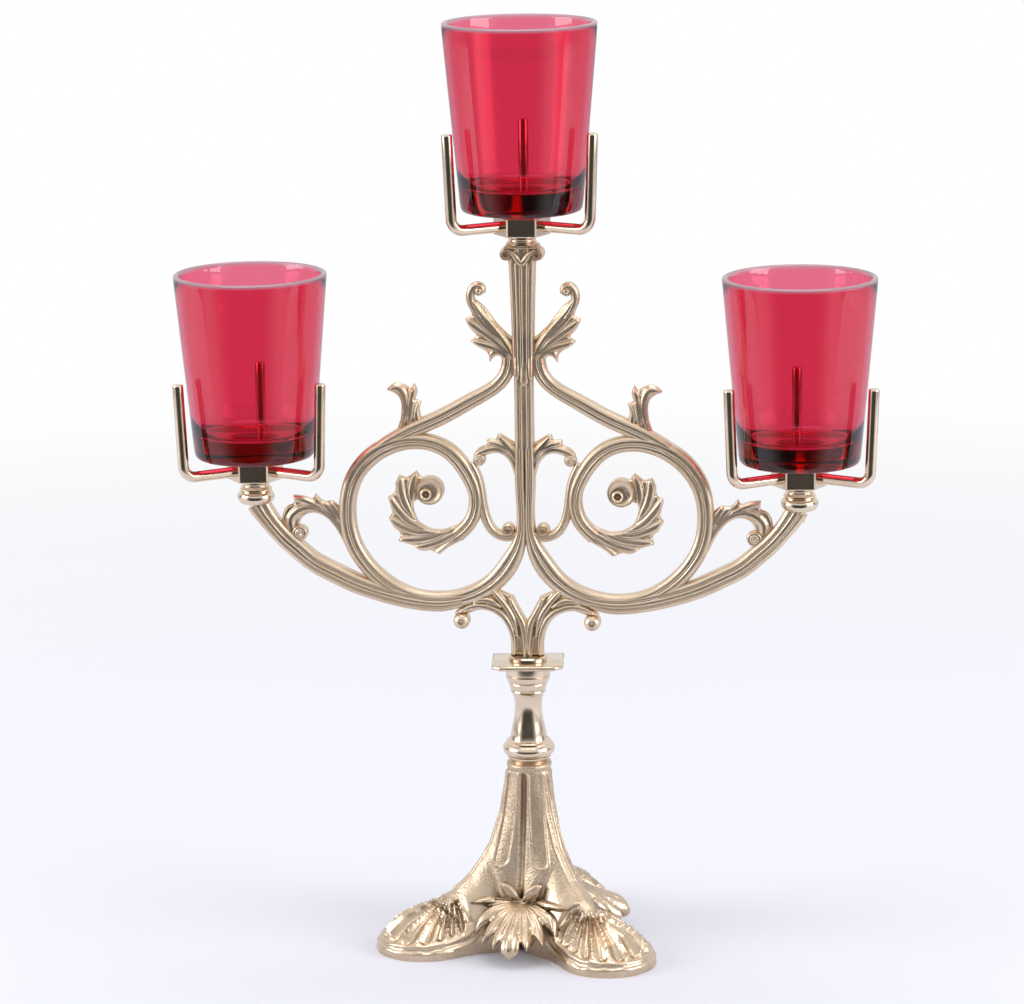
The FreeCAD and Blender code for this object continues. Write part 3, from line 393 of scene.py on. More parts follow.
@dataclass(frozen=True)
class ZincSteel:
    """Zinc plated mild steel, as on a threaded rod: grey, a little cloudy."""

    name: str
    colour: str = "9B9C9E"
    roughness: float = 0.35
    cloud_mm: float = 2.0

    def material(self) -> bpy.types.Material:
        """Build the shader.

        Returns:
            The steel material.
        """
        material, tree = new_material(self.name)
        place = add_node(tree, "ShaderNodeTexCoord").outputs["Object"]
        cloud = add_node(
            tree, "ShaderNodeTexNoise", {"Scale": 1 / (self.cloud_mm * MM), "Detail": 3.0}, {"Vector": place},
        ).outputs["Fac"]
        rough = add_node(
            tree, "ShaderNodeMapRange", {"To Min": self.roughness * 0.7, "To Max": self.roughness * 1.3},
            {"Value": cloud},
        ).outputs["Result"]
        shader = add_node(
            tree, "ShaderNodeBsdfPrincipled", {"Metallic": 1.0, "Base Color": linear(self.colour)},
            {"Roughness": rough},
        )
        add_node(tree, "ShaderNodeOutputMaterial", None, {"Surface": shader.outputs[0]})
        return material


# Curves and meshes


class Side(Enum):
    """Which half of the scrollwork a piece belongs to; the value is the sign of X."""

    LEFT = -1
    RIGHT = 1

    @property
    def word(self) -> str:
        """The side's name in node names."""
        return self.name.lower()


def smooth_line(points: Sequence[Sequence[float]], count: int) -> np.ndarray:
    """Run a natural cubic through points, evenly spaced along their chords.

    Args:
        points: rows of any width; the first two numbers are the place.
        count: how many rows to return.

    Returns:
        The sampled rows.
    """
    knots = np.asarray(points, dtype=float)
    steps = np.hypot(*(np.diff(knots[:, :2], axis=0).T))
    at = np.concatenate([[0.0], np.cumsum(steps)])
    total = len(knots)
    system = np.eye(total)
    right = np.zeros_like(knots)
    for index in range(1, total - 1):
        before, after = steps[index - 1], steps[index]
        system[index, index - 1:index + 2] = before, 2 * (before + after), after
        right[index] = 6 * (
            (knots[index + 1] - knots[index]) / after - (knots[index] - knots[index - 1]) / before
        )
    bend = np.linalg.solve(system, right)
    places = np.linspace(0, at[-1], count)
    piece = np.clip(np.searchsorted(at, places, side="right") - 1, 0, total - 2)
    width = steps[piece][:, None]
    left = (places - at[piece])[:, None]
    rest = width - left
    return (
        bend[piece] * rest ** 3 / (6 * width) + bend[piece + 1] * left ** 3 / (6 * width)
        + (knots[piece] / width - bend[piece] * width / 6) * rest
        + (knots[piece + 1] / width - bend[piece + 1] * width / 6) * left
    )


def smooth_share(values: np.ndarray, low: float, high: float) -> np.ndarray:
    """Ease from 0 at low to 1 at high."""
    share = np.clip((values - low) / (high - low), 0.0, 1.0)
    return share * share * (3 - 2 * share)


def ridge_share(values: np.ndarray, middle: float, width: float) -> np.ndarray:
    """Rise to 1 at middle and fall off to 0.37 at a width from it."""
    return np.exp(-((values - middle) / width) ** 2)


def distances(line: np.ndarray) -> np.ndarray:
    """Measure along a line to each of its points."""
    return np.concatenate([[0.0], np.cumsum(np.linalg.norm(np.diff(line, axis=0), axis=1))])


def headings(line: np.ndarray) -> np.ndarray:
    """Find the unit direction of a line at each of its points."""
    way = np.gradient(line, axis=0)
    return way / np.linalg.norm(way, axis=1)[:, None]


def add_object(name: str, data: bpy.types.ID) -> bpy.types.Object:
    """Make an object and link it into the scene.

    Args:
        name: its name.
        data: its mesh, lamp or camera.

    Returns:
        The new object.
    """
    item = bpy.data.objects.new(name, data)
    bpy.context.scene.collection.objects.link(item)
    return item


class Shell:
    """Vertices and faces of one mesh, gathered from lofts, then turned into an object."""

    def __init__(self) -> None:
        """Start empty."""
        self.vertices: list[np.ndarray] = []
        self.faces: list[tuple[int, ...]] = []
        self.count = 0

    def add(self, points: np.ndarray, faces: Iterable[tuple[int, ...]]) -> None:
        """Add points and the faces between them.

        Args:
            points: rows of X, Y and Z in millimetres.
            faces: point numbers of each face, counted from the first of these points.
        """
        self.vertices.append(np.asarray(points, dtype=float).reshape(-1, 3))
        self.faces += [tuple(index + self.count for index in face) for face in faces]
        self.count += len(self.vertices[-1])

    def loft(self, rows: Sequence[np.ndarray], ends: bool = True) -> None:
        """Join loops of equal length with quads.

        Args:
            rows: the cross sections, in order.
            ends: whether the first and last rows are filled.
        """
        size = len(rows[0])
        faces: list[tuple[int, ...]] = []
        for row in range(len(rows) - 1):
            low, high = row * size, (row + 1) * size
            for index in range(size):
                after = (index + 1) % size
                faces.append((low + index, low + after, high + after, high + index))
        if ends:
            faces.append(tuple(range(size))[::-1])
            faces.append(tuple(range((len(rows) - 1) * size, len(rows) * size)))
        self.add(np.concatenate(rows), faces)

    def piece(
        self,
        name: str,
        material: bpy.types.Material,
        slot: str,
        body: str,
        nodes: Sequence[str],
        crease: float = 42.0,
    ) -> bpy.types.Object:
        """Make the object, dress it, tie it to its body and hide the CAD nodes it stands for.

        Args:
            name: name of the piece.
            material: its finish.
            slot: not used.
            body: the body it moves with.
            nodes: the CAD nodes it stands for.
            crease: edges sharper than this many degrees stay sharp.

        Returns:
            The new object.
        """
        mesh = bpy.data.meshes.new(name)
        mesh.from_pydata((np.concatenate(self.vertices) * MM).tolist(), [], self.faces)
        work = bmesh.new()
        work.from_mesh(mesh)
        bmesh.ops.remove_doubles(work, verts=work.verts, dist=0.002 * MM)
        bmesh.ops.recalc_face_normals(work, faces=work.faces)
        work.to_mesh(mesh)
        work.free()
        mesh.shade_smooth()
        mesh.set_sharp_from_angle(angle=math.radians(crease))
        mesh.materials.append(material)
        item = add_object(name, mesh)
        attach(item, body)
        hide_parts(*nodes)
        log.info("%s: %d faces", name, len(mesh.polygons))
        return item


@dataclass(frozen=True)
class Drawing:
    """The plane of the squared drawing on one side of the stem."""

    side: Side

    def place(self, across: np.ndarray, up: np.ndarray, front: np.ndarray) -> np.ndarray:
        """Turn millimetres across, up and towards the viewer into points."""
        return np.stack([across * self.side.value, -front, up], axis=-1)


def squares(rows: Sequence[Sequence[float]]) -> np.ndarray:
    """Turn rows of the squared drawing into millimetres.

    Args:
        rows: squares across, squares up, and any widths in squares behind them.

    Returns:
        The same rows in millimetres.
    """
    table = np.asarray(rows, dtype=float).copy()
    table[:, 0] *= SQUARE_ACROSS
    table[:, 1] = SCROLL_FOOT + table[:, 1] * SQUARE_UP
    table[:, 2:] *= SQUARE_ACROSS
    return table


@dataclass(frozen=True)
class Section:
    """Cross section of a bar: reeds side by side on front and back, and plain sides.

    Args:
        bounds: where the grooves between the reeds lie, from -1 to 1 across the bar.
        groove: depth of a groove as a share of half the bar's depth.
        crown: how much lower the outer edges lie, as a share of half the depth.
        steps: points across one reed.
    """

    bounds: tuple[float, ...] = (-1.0, -0.36, 0.36, 1.0)
    groove: float = 0.15
    crown: float = 0.30
    steps: int = 9

    CROWN_POWER = 2.5

    def loop(self) -> np.ndarray:
        """Draw the closed section.

        Returns:
            Rows of (across share, front share), over the front and back along the rear.
        """
        front: list[tuple[float, float]] = []
        for low, high in zip(self.bounds, self.bounds[1:]):
            for step in range(self.steps):
                inner = step / self.steps
                across = low + (high - low) * inner
                arch = math.sqrt(max(0.0, 1 - (2 * inner - 1) ** 2))
                fall = self.crown * abs(across) ** self.CROWN_POWER
                front.append((across, 1 - fall - self.groove * (1 - arch)))
        front.append((1.0, 1 - self.crown - self.groove))
        back = [(across, -lift) for across, lift in reversed(front)]
        return np.array(front + back)


def sweep(
    line: np.ndarray,
    half_width: np.ndarray,
    half_depth: np.ndarray,
    section: np.ndarray,
    place: Callable[[np.ndarray, np.ndarray, np.ndarray], np.ndarray],
) -> Rows:
    """Carry a section along a line in one plane.

    Args:
        line: points of the line in the plane.
        half_width: half width at each point.
        half_depth: half depth at each point.
        section: rows of (across share, front share).
        place: turns plane coordinates and a front distance into points.

    Returns:
        One row of points for each point of the line.
    """
    rows = []
    for index, (point, ahead) in enumerate(zip(line, headings(line))):
        offset = section[:, 0] * half_width[index]
        front = section[:, 1] * half_depth[index]
        rows.append(place(point[0] - ahead[1] * offset, point[1] + ahead[0] * offset, front))
    return rows


def turned(
    shell: Shell,
    profile: Sequence[tuple[float, float]],
    left: float = 0.0,
    foot: float = 0.0,
    around: int = 72,
) -> None:
    """Add a solid of revolution about an upright axis.

    Args:
        shell: where the mesh goes.
        profile: radius and height, from the foot up.
        left: X of the axis.
        foot: height that the profile counts from.
        around: points around the axis.
    """
    angles = np.linspace(0, 2 * math.pi, around, endpoint=False)
    rows = [
        np.stack([left + radius * np.cos(angles), radius * np.sin(angles),
                  np.full(around, foot + height)], axis=-1)
        for radius, height in profile
    ]
    shell.loft(rows)


def arc(
    centre: tuple[float, float], radius: float, start: float, end: float, count: int
) -> list[tuple[float, float]]:
    """Draw points on an arc.

    Args:
        centre: its centre.
        radius: its radius.
        start: the first angle, in degrees from the positive first axis.
        end: the last angle.
        count: how many points.

    Returns:
        The points, in order.
    """
    return [
        (centre[0] + radius * math.cos(bearing), centre[1] + radius * math.sin(bearing))
        for bearing in map(math.radians, np.linspace(start, end, count))
    ]


def button(
    shell: Shell,
    place: Callable,
    middle: Sequence[float],
    face: Sequence[tuple[float, float]],
    around: int,
) -> None:
    """Add a round button that has the same face in front and behind.

    Args:
        shell: where the mesh goes.
        place: turns plane coordinates and a front distance into points.
        middle: its middle in the plane.
        face: radius and front distance, from the middle out.
        around: points around it.
    """
    angles = np.linspace(0, 2 * math.pi, around, endpoint=False)
    loop = [*face, *((away, -front) for away, front in reversed(face))]
    shell.loft([
        place(middle[0] + away * np.cos(angles), middle[1] + away * np.sin(angles), np.full(around, front))
        for away, front in loop
    ])


# Scrollwork


@dataclass(frozen=True)
class Bar:
    """One reeded bar of the scrollwork.

    Args:
        node: the CAD node, without its side.
        line: squares across, squares up and half width in squares.
        depth: front to back in millimetres.
        section: its reeds.
        count: points along it.
        curls: beads at its ends.
    """

    node: str
    line: tuple[tuple[float, float, float], ...]
    depth: float
    section: Section
    count: int = 150
    curls: tuple["Curl", ...] = ()

    def build(self, side: Side, material: bpy.types.Material) -> None:
        """Make the bar on one side.

        Args:
            side: the half it belongs to.
            material: its finish.
        """
        table = smooth_line(squares(self.line), self.count)
        shell = Shell()
        depth = np.full(self.count, self.depth / 2)
        shell.loft(sweep(table[:, :2], table[:, 2], depth, self.section.loop(), Drawing(side).place))
        for curl in self.curls:
            curl.add(shell, Drawing(side).place, self.depth * 1.2)
        shell.piece(f"{side.word}_{self.node}_reeded", material, "polished_brass", STAND,
                    [f"{side.word}_{self.node}"])


Stretches = tuple[tuple[tuple[float, float], ...], ...]


def closed_outline(stretches: Stretches, step: float = 0.12) -> np.ndarray:
    """Join the stretches of an outline; one of two points is straight and a longer one is smooth.

    Args:
        stretches: points, each stretch going on from the end of the one before.
        step: spacing of the points returned.

    Returns:
        The outline's points, without the first one again at the end.
    """
    run = [np.array(stretches[0][:1])]
    for number, stretch in enumerate(stretches):
        knots = np.array(stretch if number == 0 else [run[-1][-1], *stretch])
        if len(knots) == 1:
            continue
        length = float(np.linalg.norm(np.diff(knots, axis=0), axis=1).sum())
        count = max(2, round(length / step))
        run.append((np.linspace(*knots, count) if len(knots) == 2 else smooth_line(knots, count))[1:])
    return np.concatenate(run)[:-1]


def nearest(points: np.ndarray, line: np.ndarray) -> tuple[np.ndarray, np.ndarray]:
    """Find how far points lie from a line and how far along it.

    Args:
        points: rows of two numbers.
        line: the line's points.

    Returns:
        The distances, and the shares of the line's length from 0 to 1.
    """
    steps = np.diff(line, axis=0)
    lengths = np.linalg.norm(steps, axis=1)
    away = np.full(len(points), np.inf)
    along = np.zeros(len(points))
    for start, step, length, before in zip(line, steps, lengths, np.cumsum(lengths) - lengths):
        share = np.clip((points - start) @ step / max(length ** 2, 1e-12), 0, 1)
        gap = np.linalg.norm(points - start - share[:, None] * step, axis=1)
        along = np.where(gap < away, before + share * length, along)
        away = np.minimum(away, gap)
    return away, along / lengths.sum()


@dataclass(frozen=True)
class Vein:
    """The rounded back of one lobe of a leaf, with a fine channel along its middle.

    Args:
        line: from the root to the tip.
        width: half width of the lobe.
        channel: depth of the channel as a share of the leaf's.
    """

    line: tuple[tuple[float, float], ...]
    width: float = 0.52
    channel: float = 0.20


@dataclass(frozen=True)
class Curl:
    """The round bead that a leaf or a bar curls up into, with an eye sunk in it.

    Args:
        centre: squares across and up.
        radius: radius in squares.
        eye: how deep the eye is, from a plain bead at 0 to 1.
    """

    centre: tuple[float, float]
    radius: float
    eye: float = 0.6

    # Radius and front of the bead as shares, and how far the eye sinks or raises each of them.
    BEAD = ((0.0, 1.08), (0.16, 1.08), (0.30, 1.07), (0.44, 1.04), (0.56, 1.0), (0.64, 0.96), (0.76, 0.88),
            (0.90, 0.70), (1.0, 0.42))
    EYE = (-0.38, -0.34, -0.03, 0.04, -0.14, -0.10, 0.12, 0.12, 0.0)

    def add(self, shell: Shell, place: Callable, depth: float) -> None:
        """Add the bead, front and back, to a mesh.

        Args:
            shell: where the mesh goes.
            place: turns plane coordinates and a front distance into points.
            depth: thickness in millimetres.
        """
        middle = squares([self.centre])[0]
        radius = self.radius * SQUARE_ACROSS
        face = [(max(share, 0.02) * radius, (lift + self.eye * sunk) * depth / 2)
                for (share, lift), sunk in zip(self.BEAD, self.EYE)]
        button(shell, place, middle, face, 32)


@dataclass(frozen=True)
class Carving:
    """A sheet cut to an outline and carved with rounded lobes, all in millimetres.

    Args:
        outline: its closed outline.
        veins: line, half width and channel of each lobe.
        depth: thickness.
        edge: how far in from the outline the rounding reaches.
        grain: size of the mesh's squares.
    """

    outline: np.ndarray
    veins: tuple[tuple[np.ndarray, float, float], ...]
    depth: float
    edge: float = 1.25
    grain: float = 0.34

    # Shares of the thickness that stay at the outline and between the lobes, and of a lobe's half
    # width that it starts with and that its channel takes.
    RIM_SHARE = 0.28
    GROUND_SHARE = 0.46
    ROOT_SHARE = 0.38
    CHANNEL_SHARE = 0.16

    def add(self, shell: Shell, place: Callable) -> None:
        """Cut, carve and add to a mesh.

        Args:
            shell: where the mesh goes.
            place: turns plane coordinates and a front distance into points.
        """
        slab = Shell()
        slab.loft([
            np.column_stack([self.outline, np.full(len(self.outline), height)])
            for height in (-self.depth / 2, self.depth / 2)
        ])
        mesh = bpy.data.meshes.new("slab")
        mesh.from_pydata(np.concatenate(slab.vertices).tolist(), [], slab.faces)
        block = add_object("slab", mesh)
        even = block.modifiers.new("even", "REMESH")
        even.mode = "VOXEL"
        even.voxel_size = self.grain
        graph = bpy.context.evaluated_depsgraph_get()
        skin = bpy.data.meshes.new_from_object(block.evaluated_get(graph))
        points = np.empty(len(skin.vertices) * 3)
        skin.vertices.foreach_get("co", points)
        points = points.reshape(-1, 3)
        faces = [tuple(face.vertices) for face in skin.polygons]
        bpy.data.objects.remove(block)
        bpy.data.meshes.remove(mesh)
        bpy.data.meshes.remove(skin)
        front = points[:, 2] * self.height(points[:, :2])
        shell.add(place(points[:, 0], points[:, 1], front), faces)

    def height(self, points: np.ndarray) -> np.ndarray:
        """Find what the carving leaves.

        Args:
            points: rows of two numbers.

        Returns:
            The share of the thickness that is left at each point.
        """
        rim, _ = nearest(points, np.concatenate([self.outline, self.outline[:1]]))
        rounded = np.sqrt(np.clip(1 - (1 - np.clip(rim / self.edge, 0, 1)) ** 2, 0, 1))
        best = np.zeros(len(points))
        for line, width, channel in self.veins:
            away, along = nearest(points, line)
            # A lobe widens from its root, and narrows and sinks towards its tip.
            reach = width * (self.ROOT_SHARE + 0.66 * smooth_share(along, 0.0, 0.42))
            reach *= 1 - 0.25 * along ** 3
            back = np.clip(1 - 0.9 * (away / reach) ** 2, 0, 1) * (1 - 0.25 * along ** 2)
            back -= channel * ridge_share(away, 0.0, self.CHANNEL_SHARE * width) * (1 - along ** 4)
            best = np.maximum(best, back)
        from_rim = self.RIM_SHARE + (1 - self.RIM_SHARE) * rounded
        return from_rim * (self.GROUND_SHARE + (1 - self.GROUND_SHARE) * best)


@dataclass(frozen=True)
class Leaf:
    """An acanthus leaf of the scrollwork, drawn in squares.

    Args:
        node: the CAD node, without its side.
        depth: front to back in millimetres.
        outline: its stretches.
        veins: its lobes.
        curls: the beads that it curls into.
        hook: a reed that bends over its tip, as squares across and up and half width.
    """

    node: str
    depth: float
    outline: Stretches
    veins: tuple[Vein, ...]
    curls: tuple[Curl, ...] = ()
    hook: tuple[tuple[float, float, float], ...] = ()

    HOOK_POINTS = 40

    def build(self, side: Side, material: bpy.types.Material) -> None:
        """Make the leaf on one side.

        Args:
            side: the half it belongs to.
            material: its finish.
        """
        shell = Shell()
        place = Drawing(side).place
        veins = tuple(
            (smooth_line(squares(vein.line), VEIN_POINTS), vein.width * SQUARE_ACROSS, vein.channel)
            for vein in self.veins
        )
        Carving(squares(closed_outline(self.outline)), veins, self.depth).add(shell, place)
        for curl in self.curls:
            curl.add(shell, place, self.depth * 1.12)
        if self.hook:
            table = smooth_line(squares(self.hook), self.HOOK_POINTS)
            depth = np.full(self.HOOK_POINTS, self.depth * 0.46)
            reed = Section((-1.0, 1.0), groove=0.3, crown=0.2).loop()
            shell.loft(sweep(table[:, :2], table[:, 2], depth, reed, place))
        shell.piece(f"{side.word}_{self.node}_carved", material, "polished_brass", STAND,
                    [f"{side.word}_{self.node}"], crease=75)


@dataclass(frozen=True)
class SpiralEye:
    """The eye of the ring scroll: a dished disc with a rolled rim and a ringed boss beside its middle.

    Args:
        centre: squares across and up.
        radius: radius of the disc in millimetres.
        boss_share: radius of the boss as a share of the disc's.
        boss_shift: how far the boss sits from the disc's middle, to the right and up.
        depth: front to back in millimetres.
    """

    centre: tuple[float, float] = (9.62, 16.55)
    radius: float = 5.6
    boss_share: float = 0.46
    boss_shift: tuple[float, float] = (-1.3, -1.2)
    depth: float = 7.6

    # Radius and front of each, as shares.
    DISC = ((0.02, 0.62), (0.5, 0.60), (0.66, 0.66), (0.80, 0.86), (0.90, 0.88), (0.97, 0.74), (1.0, 0.5))
    BOSS = ((0.02, 0.84), (0.20, 0.84), (0.26, 0.66), (0.40, 0.64), (0.52, 0.90), (0.70, 1.0), (0.88, 0.92),
            (1.0, 0.55))

    def build(self, side: Side, material: bpy.types.Material) -> None:
        """Make the eye on one side.

        Args:
            side: the half it belongs to.
            material: its finish.
        """
        shell = Shell()
        middle = squares([self.centre])[0]
        shift_x, shift_up = self.boss_shift
        for profile, radius, centre in (
            (self.DISC, self.radius, middle),
            (self.BOSS, self.radius * self.boss_share, middle + (shift_x * side.value, shift_up)),
        ):
            face = [(share * radius, lift * self.depth / 2) for share, lift in profile]
            button(shell, Drawing(side).place, centre, face, 48)
        shell.piece(f"{side.word}_rosette_eye", material, "polished_brass", STAND, [f"{side.word}_rosette"])


@dataclass
class Scrollwork:
    """Both halves of the cast scrollwork."""

    brass: bpy.types.Material
    bars: tuple[Bar, ...] = (
        Bar("ring_scroll", (
            (0.47, 21.0, 0.50), (0.47, 16.5, 0.50), (0.70, 11.4, 0.68), (1.47, 9.65, 0.95),
            (3.13, 7.55, 0.95), (6.68, 5.74, 0.85), (8.53, 5.50, 0.78), (12.2, 6.07, 0.75),
            (15.1, 7.85, 0.80), (16.5, 9.40, 0.80), (17.5, 11.2, 0.82), (18.0, 14.4, 0.82),
            (17.3, 17.6, 0.87), (16.2, 19.2, 0.90), (14.6, 20.5, 0.90), (11.2, 21.5, 0.80),
            (8.10, 20.8, 0.78), (5.70, 18.1, 0.75), (5.05, 16.4, 0.70), (5.03, 14.9, 0.70),
            (5.55, 13.5, 0.72), (6.90, 12.1, 0.75),
        ), 7.0, Section((-1.0, 0.08, 1.0), groove=0.17), 300),
        Bar("arm", (
            (27.1, 15.05, 1.12), (26.5, 14.1, 1.02), (25.6, 12.9, 0.94), (24.5, 11.65, 0.94),
            (23.2, 10.5, 0.95), (21.7, 9.26, 0.95), (19.7, 8.18, 0.97), (17.3, 7.07, 0.97),
            (14.7, 6.21, 0.95), (12.3, 5.62, 0.94), (10.4, 5.33, 0.92), (8.50, 5.28, 0.90),
            (6.50, 5.62, 0.72),
        ), 7.6, Section((-1.0, -0.30, 0.35, 1.0)), 180),
        Bar("brace", (
            (1.43, 29.9, 0.70), (1.58, 28.8, 0.70), (2.23, 27.6, 0.70), (3.43, 26.6, 0.70),
            (5.03, 25.7, 0.74), (8.53, 23.8, 0.78), (11.7, 22.4, 0.76), (13.2, 21.6, 0.72),
            (14.5, 20.75, 0.66), (15.2, 20.05, 0.50),
        ), 6.6, Section((-1.0, -0.05, 1.0), groove=0.17), 110),
        Bar("s_link", (
            (5.43, 19.3, 0.40), (4.88, 18.1, 0.45), (4.48, 16.4, 0.45), (4.28, 14.9, 0.45),
            (3.93, 13.6, 0.45), (3.33, 12.6, 0.45), (2.53, 12.1, 0.45), (1.60, 12.0, 0.42),
            (0.80, 12.3, 0.35),
        ), 6.0, Section((-1.0, 0.1, 1.0)), 90, (Curl((1.75, 12.75), 0.66),)),
    )
    leaves: tuple[Leaf, ...] = (
        Leaf("upper_leaf", 5.4, (
            ((0.5, 28.4), (1.9, 28.9)), ((2.10, 29.6), (2.53, 30.05), (3.03, 29.85), (3.38, 29.3)),
            ((3.60, 30.3), (4.53, 30.9), (5.28, 31.5)), ((4.53, 32.0),), ((5.20, 32.6), (5.78, 33.7)),
            ((5.03, 34.0),), ((5.42, 35.2), (5.45, 36.0)), ((4.30, 35.3), (2.53, 33.2), (1.28, 32.0)),
            ((0.5, 31.8),), ((0.5, 28.4),),
        ), (
            Vein(((0.8, 28.6), (1.2, 30.2), (2.0, 31.6), (3.2, 33.1), (4.5, 34.6), (5.1, 35.6)), 0.42),
            Vein(((1.1, 29.1), (2.0, 30.2), (2.9, 30.4), (3.35, 29.6)), 0.40),
            Vein(((1.2, 29.6), (2.4, 30.6), (3.8, 31.1), (5.2, 31.45)), 0.46),
            Vein(((1.5, 30.3), (2.9, 31.6), (4.3, 32.6), (5.7, 33.6)), 0.50),
            Vein(((2.2, 31.6), (3.4, 32.7), (4.5, 33.9), (5.2, 35.0)), 0.42),
        ), (Curl((4.35, 36.45), 0.50),),
            ((4.2, 33.8, 0.22), (4.85, 34.7, 0.36), (5.20, 35.6, 0.42), (5.12, 36.4, 0.42),
             (4.65, 36.9, 0.42), (4.12, 36.75, 0.38), (4.00, 36.25, 0.28))),
        Leaf("ring_leaf", 5.0, (
            ((12.9, 22.3), (12.4, 23.8)), ((12.6, 25.9), (13.8, 26.6)), ((12.8, 27.3), (11.3, 26.7)),
            ((11.0, 27.3),), ((10.7, 26.3), (10.95, 25.7)), ((10.3, 25.4),),
            ((10.5, 24.6), (10.3, 23.8), (9.9, 22.6)), ((12.9, 22.3),),
        ), (
            Vein(((12.5, 22.5), (12.0, 24.2), (12.0, 25.8), (12.5, 26.7), (13.5, 26.7)), 0.50),
            Vein(((11.6, 22.8), (11.4, 24.6), (11.2, 26.0), (11.0, 27.1)), 0.46),
            Vein(((10.6, 22.8), (10.75, 24.2), (10.4, 25.3)), 0.42),
        )),
        Leaf("arm_leaf", 5.2, (
            ((17.2, 9.4), (18.1, 10.5), (18.85, 11.9), (19.7, 13.2), (21.2, 14.1), (22.5, 13.75),
             (23.0, 12.9)),
            ((23.5, 11.6), (24.3, 12.0)), ((24.7, 13.4),), ((24.15, 14.75), (23.4, 15.05)), ((23.5, 15.9),),
            ((22.4, 15.8), (21.5, 15.5)), ((21.2, 16.1),),
            ((20.3, 15.3), (19.5, 15.35), (18.8, 14.8), (17.9, 14.6)), ((17.4, 11.2), (17.2, 9.4)),
        ), (
            Vein(((17.5, 9.8), (18.2, 11.3), (18.9, 12.7), (20.0, 14.0), (21.4, 14.7), (22.9, 14.4),
                  (23.8, 13.4), (23.7, 12.3)), 0.55),
            Vein(((17.7, 11.5), (17.8, 13.0), (17.95, 14.5)), 0.42),
            Vein(((18.2, 12.4), (18.8, 13.8), (19.6, 15.2)), 0.45),
            Vein(((19.1, 13.6), (20.0, 14.8), (21.1, 15.9)), 0.45),
            Vein(((20.7, 14.8), (22.0, 15.3), (23.4, 15.8)), 0.40),
        ), (Curl((22.85, 12.15), 0.80),)),
        Leaf("spiral_leaf", 5.6, (
            ((6.00, 12.6), (6.15, 11.95), (7.53, 11.0), (8.70, 10.1)), ((9.70, 10.5),),
            ((10.7, 10.45), (11.3, 10.9)), ((12.9, 11.4),), ((12.7, 12.1), (13.3, 12.7)), ((13.85, 13.7),),
            ((13.45, 14.2),), ((13.85, 15.85),), ((13.2, 16.3), (13.1, 17.2)), ((12.7, 18.05),),
            ((11.9, 17.8),), ((10.95, 18.5),), ((10.4, 17.8), (9.60, 16.9)), ((10.3, 15.7),),
            ((11.2, 15.4), (11.2, 14.3), (10.85, 13.5), (9.86, 12.8), (8.53, 12.6), (7.0, 13.1)),
            ((6.00, 12.6),),
        ), (
            Vein(((5.9, 12.7), (7.0, 11.7), (8.8, 10.3)), 0.50),
            Vein(((6.4, 12.8), (8.0, 11.8), (9.7, 11.1), (11.0, 10.8)), 0.50),
            Vein(((7.4, 12.8), (9.2, 12.0), (11.2, 11.6), (12.8, 11.5)), 0.54),
            Vein(((8.8, 12.5), (10.4, 12.4), (12.2, 12.8), (13.7, 13.6)), 0.56),
            Vein(((10.1, 12.8), (11.5, 13.3), (12.7, 14.4), (13.7, 15.7)), 0.56),
            Vein(((11.1, 13.8), (12.0, 15.0), (12.5, 16.5), (12.65, 17.9)), 0.54),
            Vein(((11.4, 15.0), (11.4, 16.7), (11.0, 18.3)), 0.50),
            Vein(((10.9, 15.6), (10.4, 16.4), (9.9, 16.9)), 0.45),
        )),
        Leaf("centre_leaf", 5.2, (
            ((0.60, 17.4), (1.00, 18.0), (1.48, 19.4), (2.63, 20.35), (3.95, 20.1)),
            ((5.10, 20.1), (4.68, 20.8), (3.70, 21.2)), ((3.78, 21.65), (2.83, 21.7)),
            ((2.63, 22.3), (1.80, 21.95), (0.60, 21.3)), ((0.60, 17.4),),
        ), (
            Vein(((0.75, 17.8), (1.1, 19.0), (1.8, 20.2), (2.9, 20.8), (4.1, 20.55), (5.0, 20.2)), 0.46),
            Vein(((0.75, 19.0), (1.1, 20.3), (1.8, 21.2), (2.6, 22.1)), 0.44),
            Vein(((1.5, 20.6), (2.5, 21.2), (3.7, 21.5)), 0.36),
        ), (Curl((4.55, 19.72), 0.64, 0.4),)),
        Leaf("foot_bracket", 7.8, (
            ((1.70, 0.0), (1.70, 1.5), (2.05, 2.8), (2.75, 3.8), (3.70, 4.35), (4.86, 4.5), (5.75, 4.2)),
            ((7.30, 4.15), (6.5, 4.95), (5.6, 5.6)), ((3.6, 7.0),), ((2.5, 6.5), (1.36, 6.0)),
            ((1.00, 5.3), (0.35, 4.1), (-0.50, 2.9)), ((-0.50, 0.0),), ((1.70, 0.0),),
        ), (
            Vein(((1.30, 0.0), (1.32, 1.6), (1.70, 3.0), (2.5, 4.2), (3.7, 4.85), (5.0, 5.0), (6.6, 4.5)),
                 0.44),
            Vein(((0.20, 0.0), (0.20, 2.0), (0.62, 3.8), (1.35, 5.2), (1.5, 5.8)), 0.46),
            Vein(((0.95, 2.0), (1.4, 3.8), (2.3, 5.3), (3.5, 6.7)), 0.42),
            Vein(((2.6, 5.0), (3.8, 5.6), (5.2, 5.5)), 0.40),
        ), (Curl((6.60, 3.45), 0.84, 0.15),)),
    )

    def build(self) -> None:
        """Make every bar, leaf and eye on both sides."""
        for side in Side:
            for bar in self.bars:
                bar.build(side, self.brass)
            for leaf in self.leaves:
                leaf.build(side, self.brass)
            SpiralEye().build(side, self.brass)


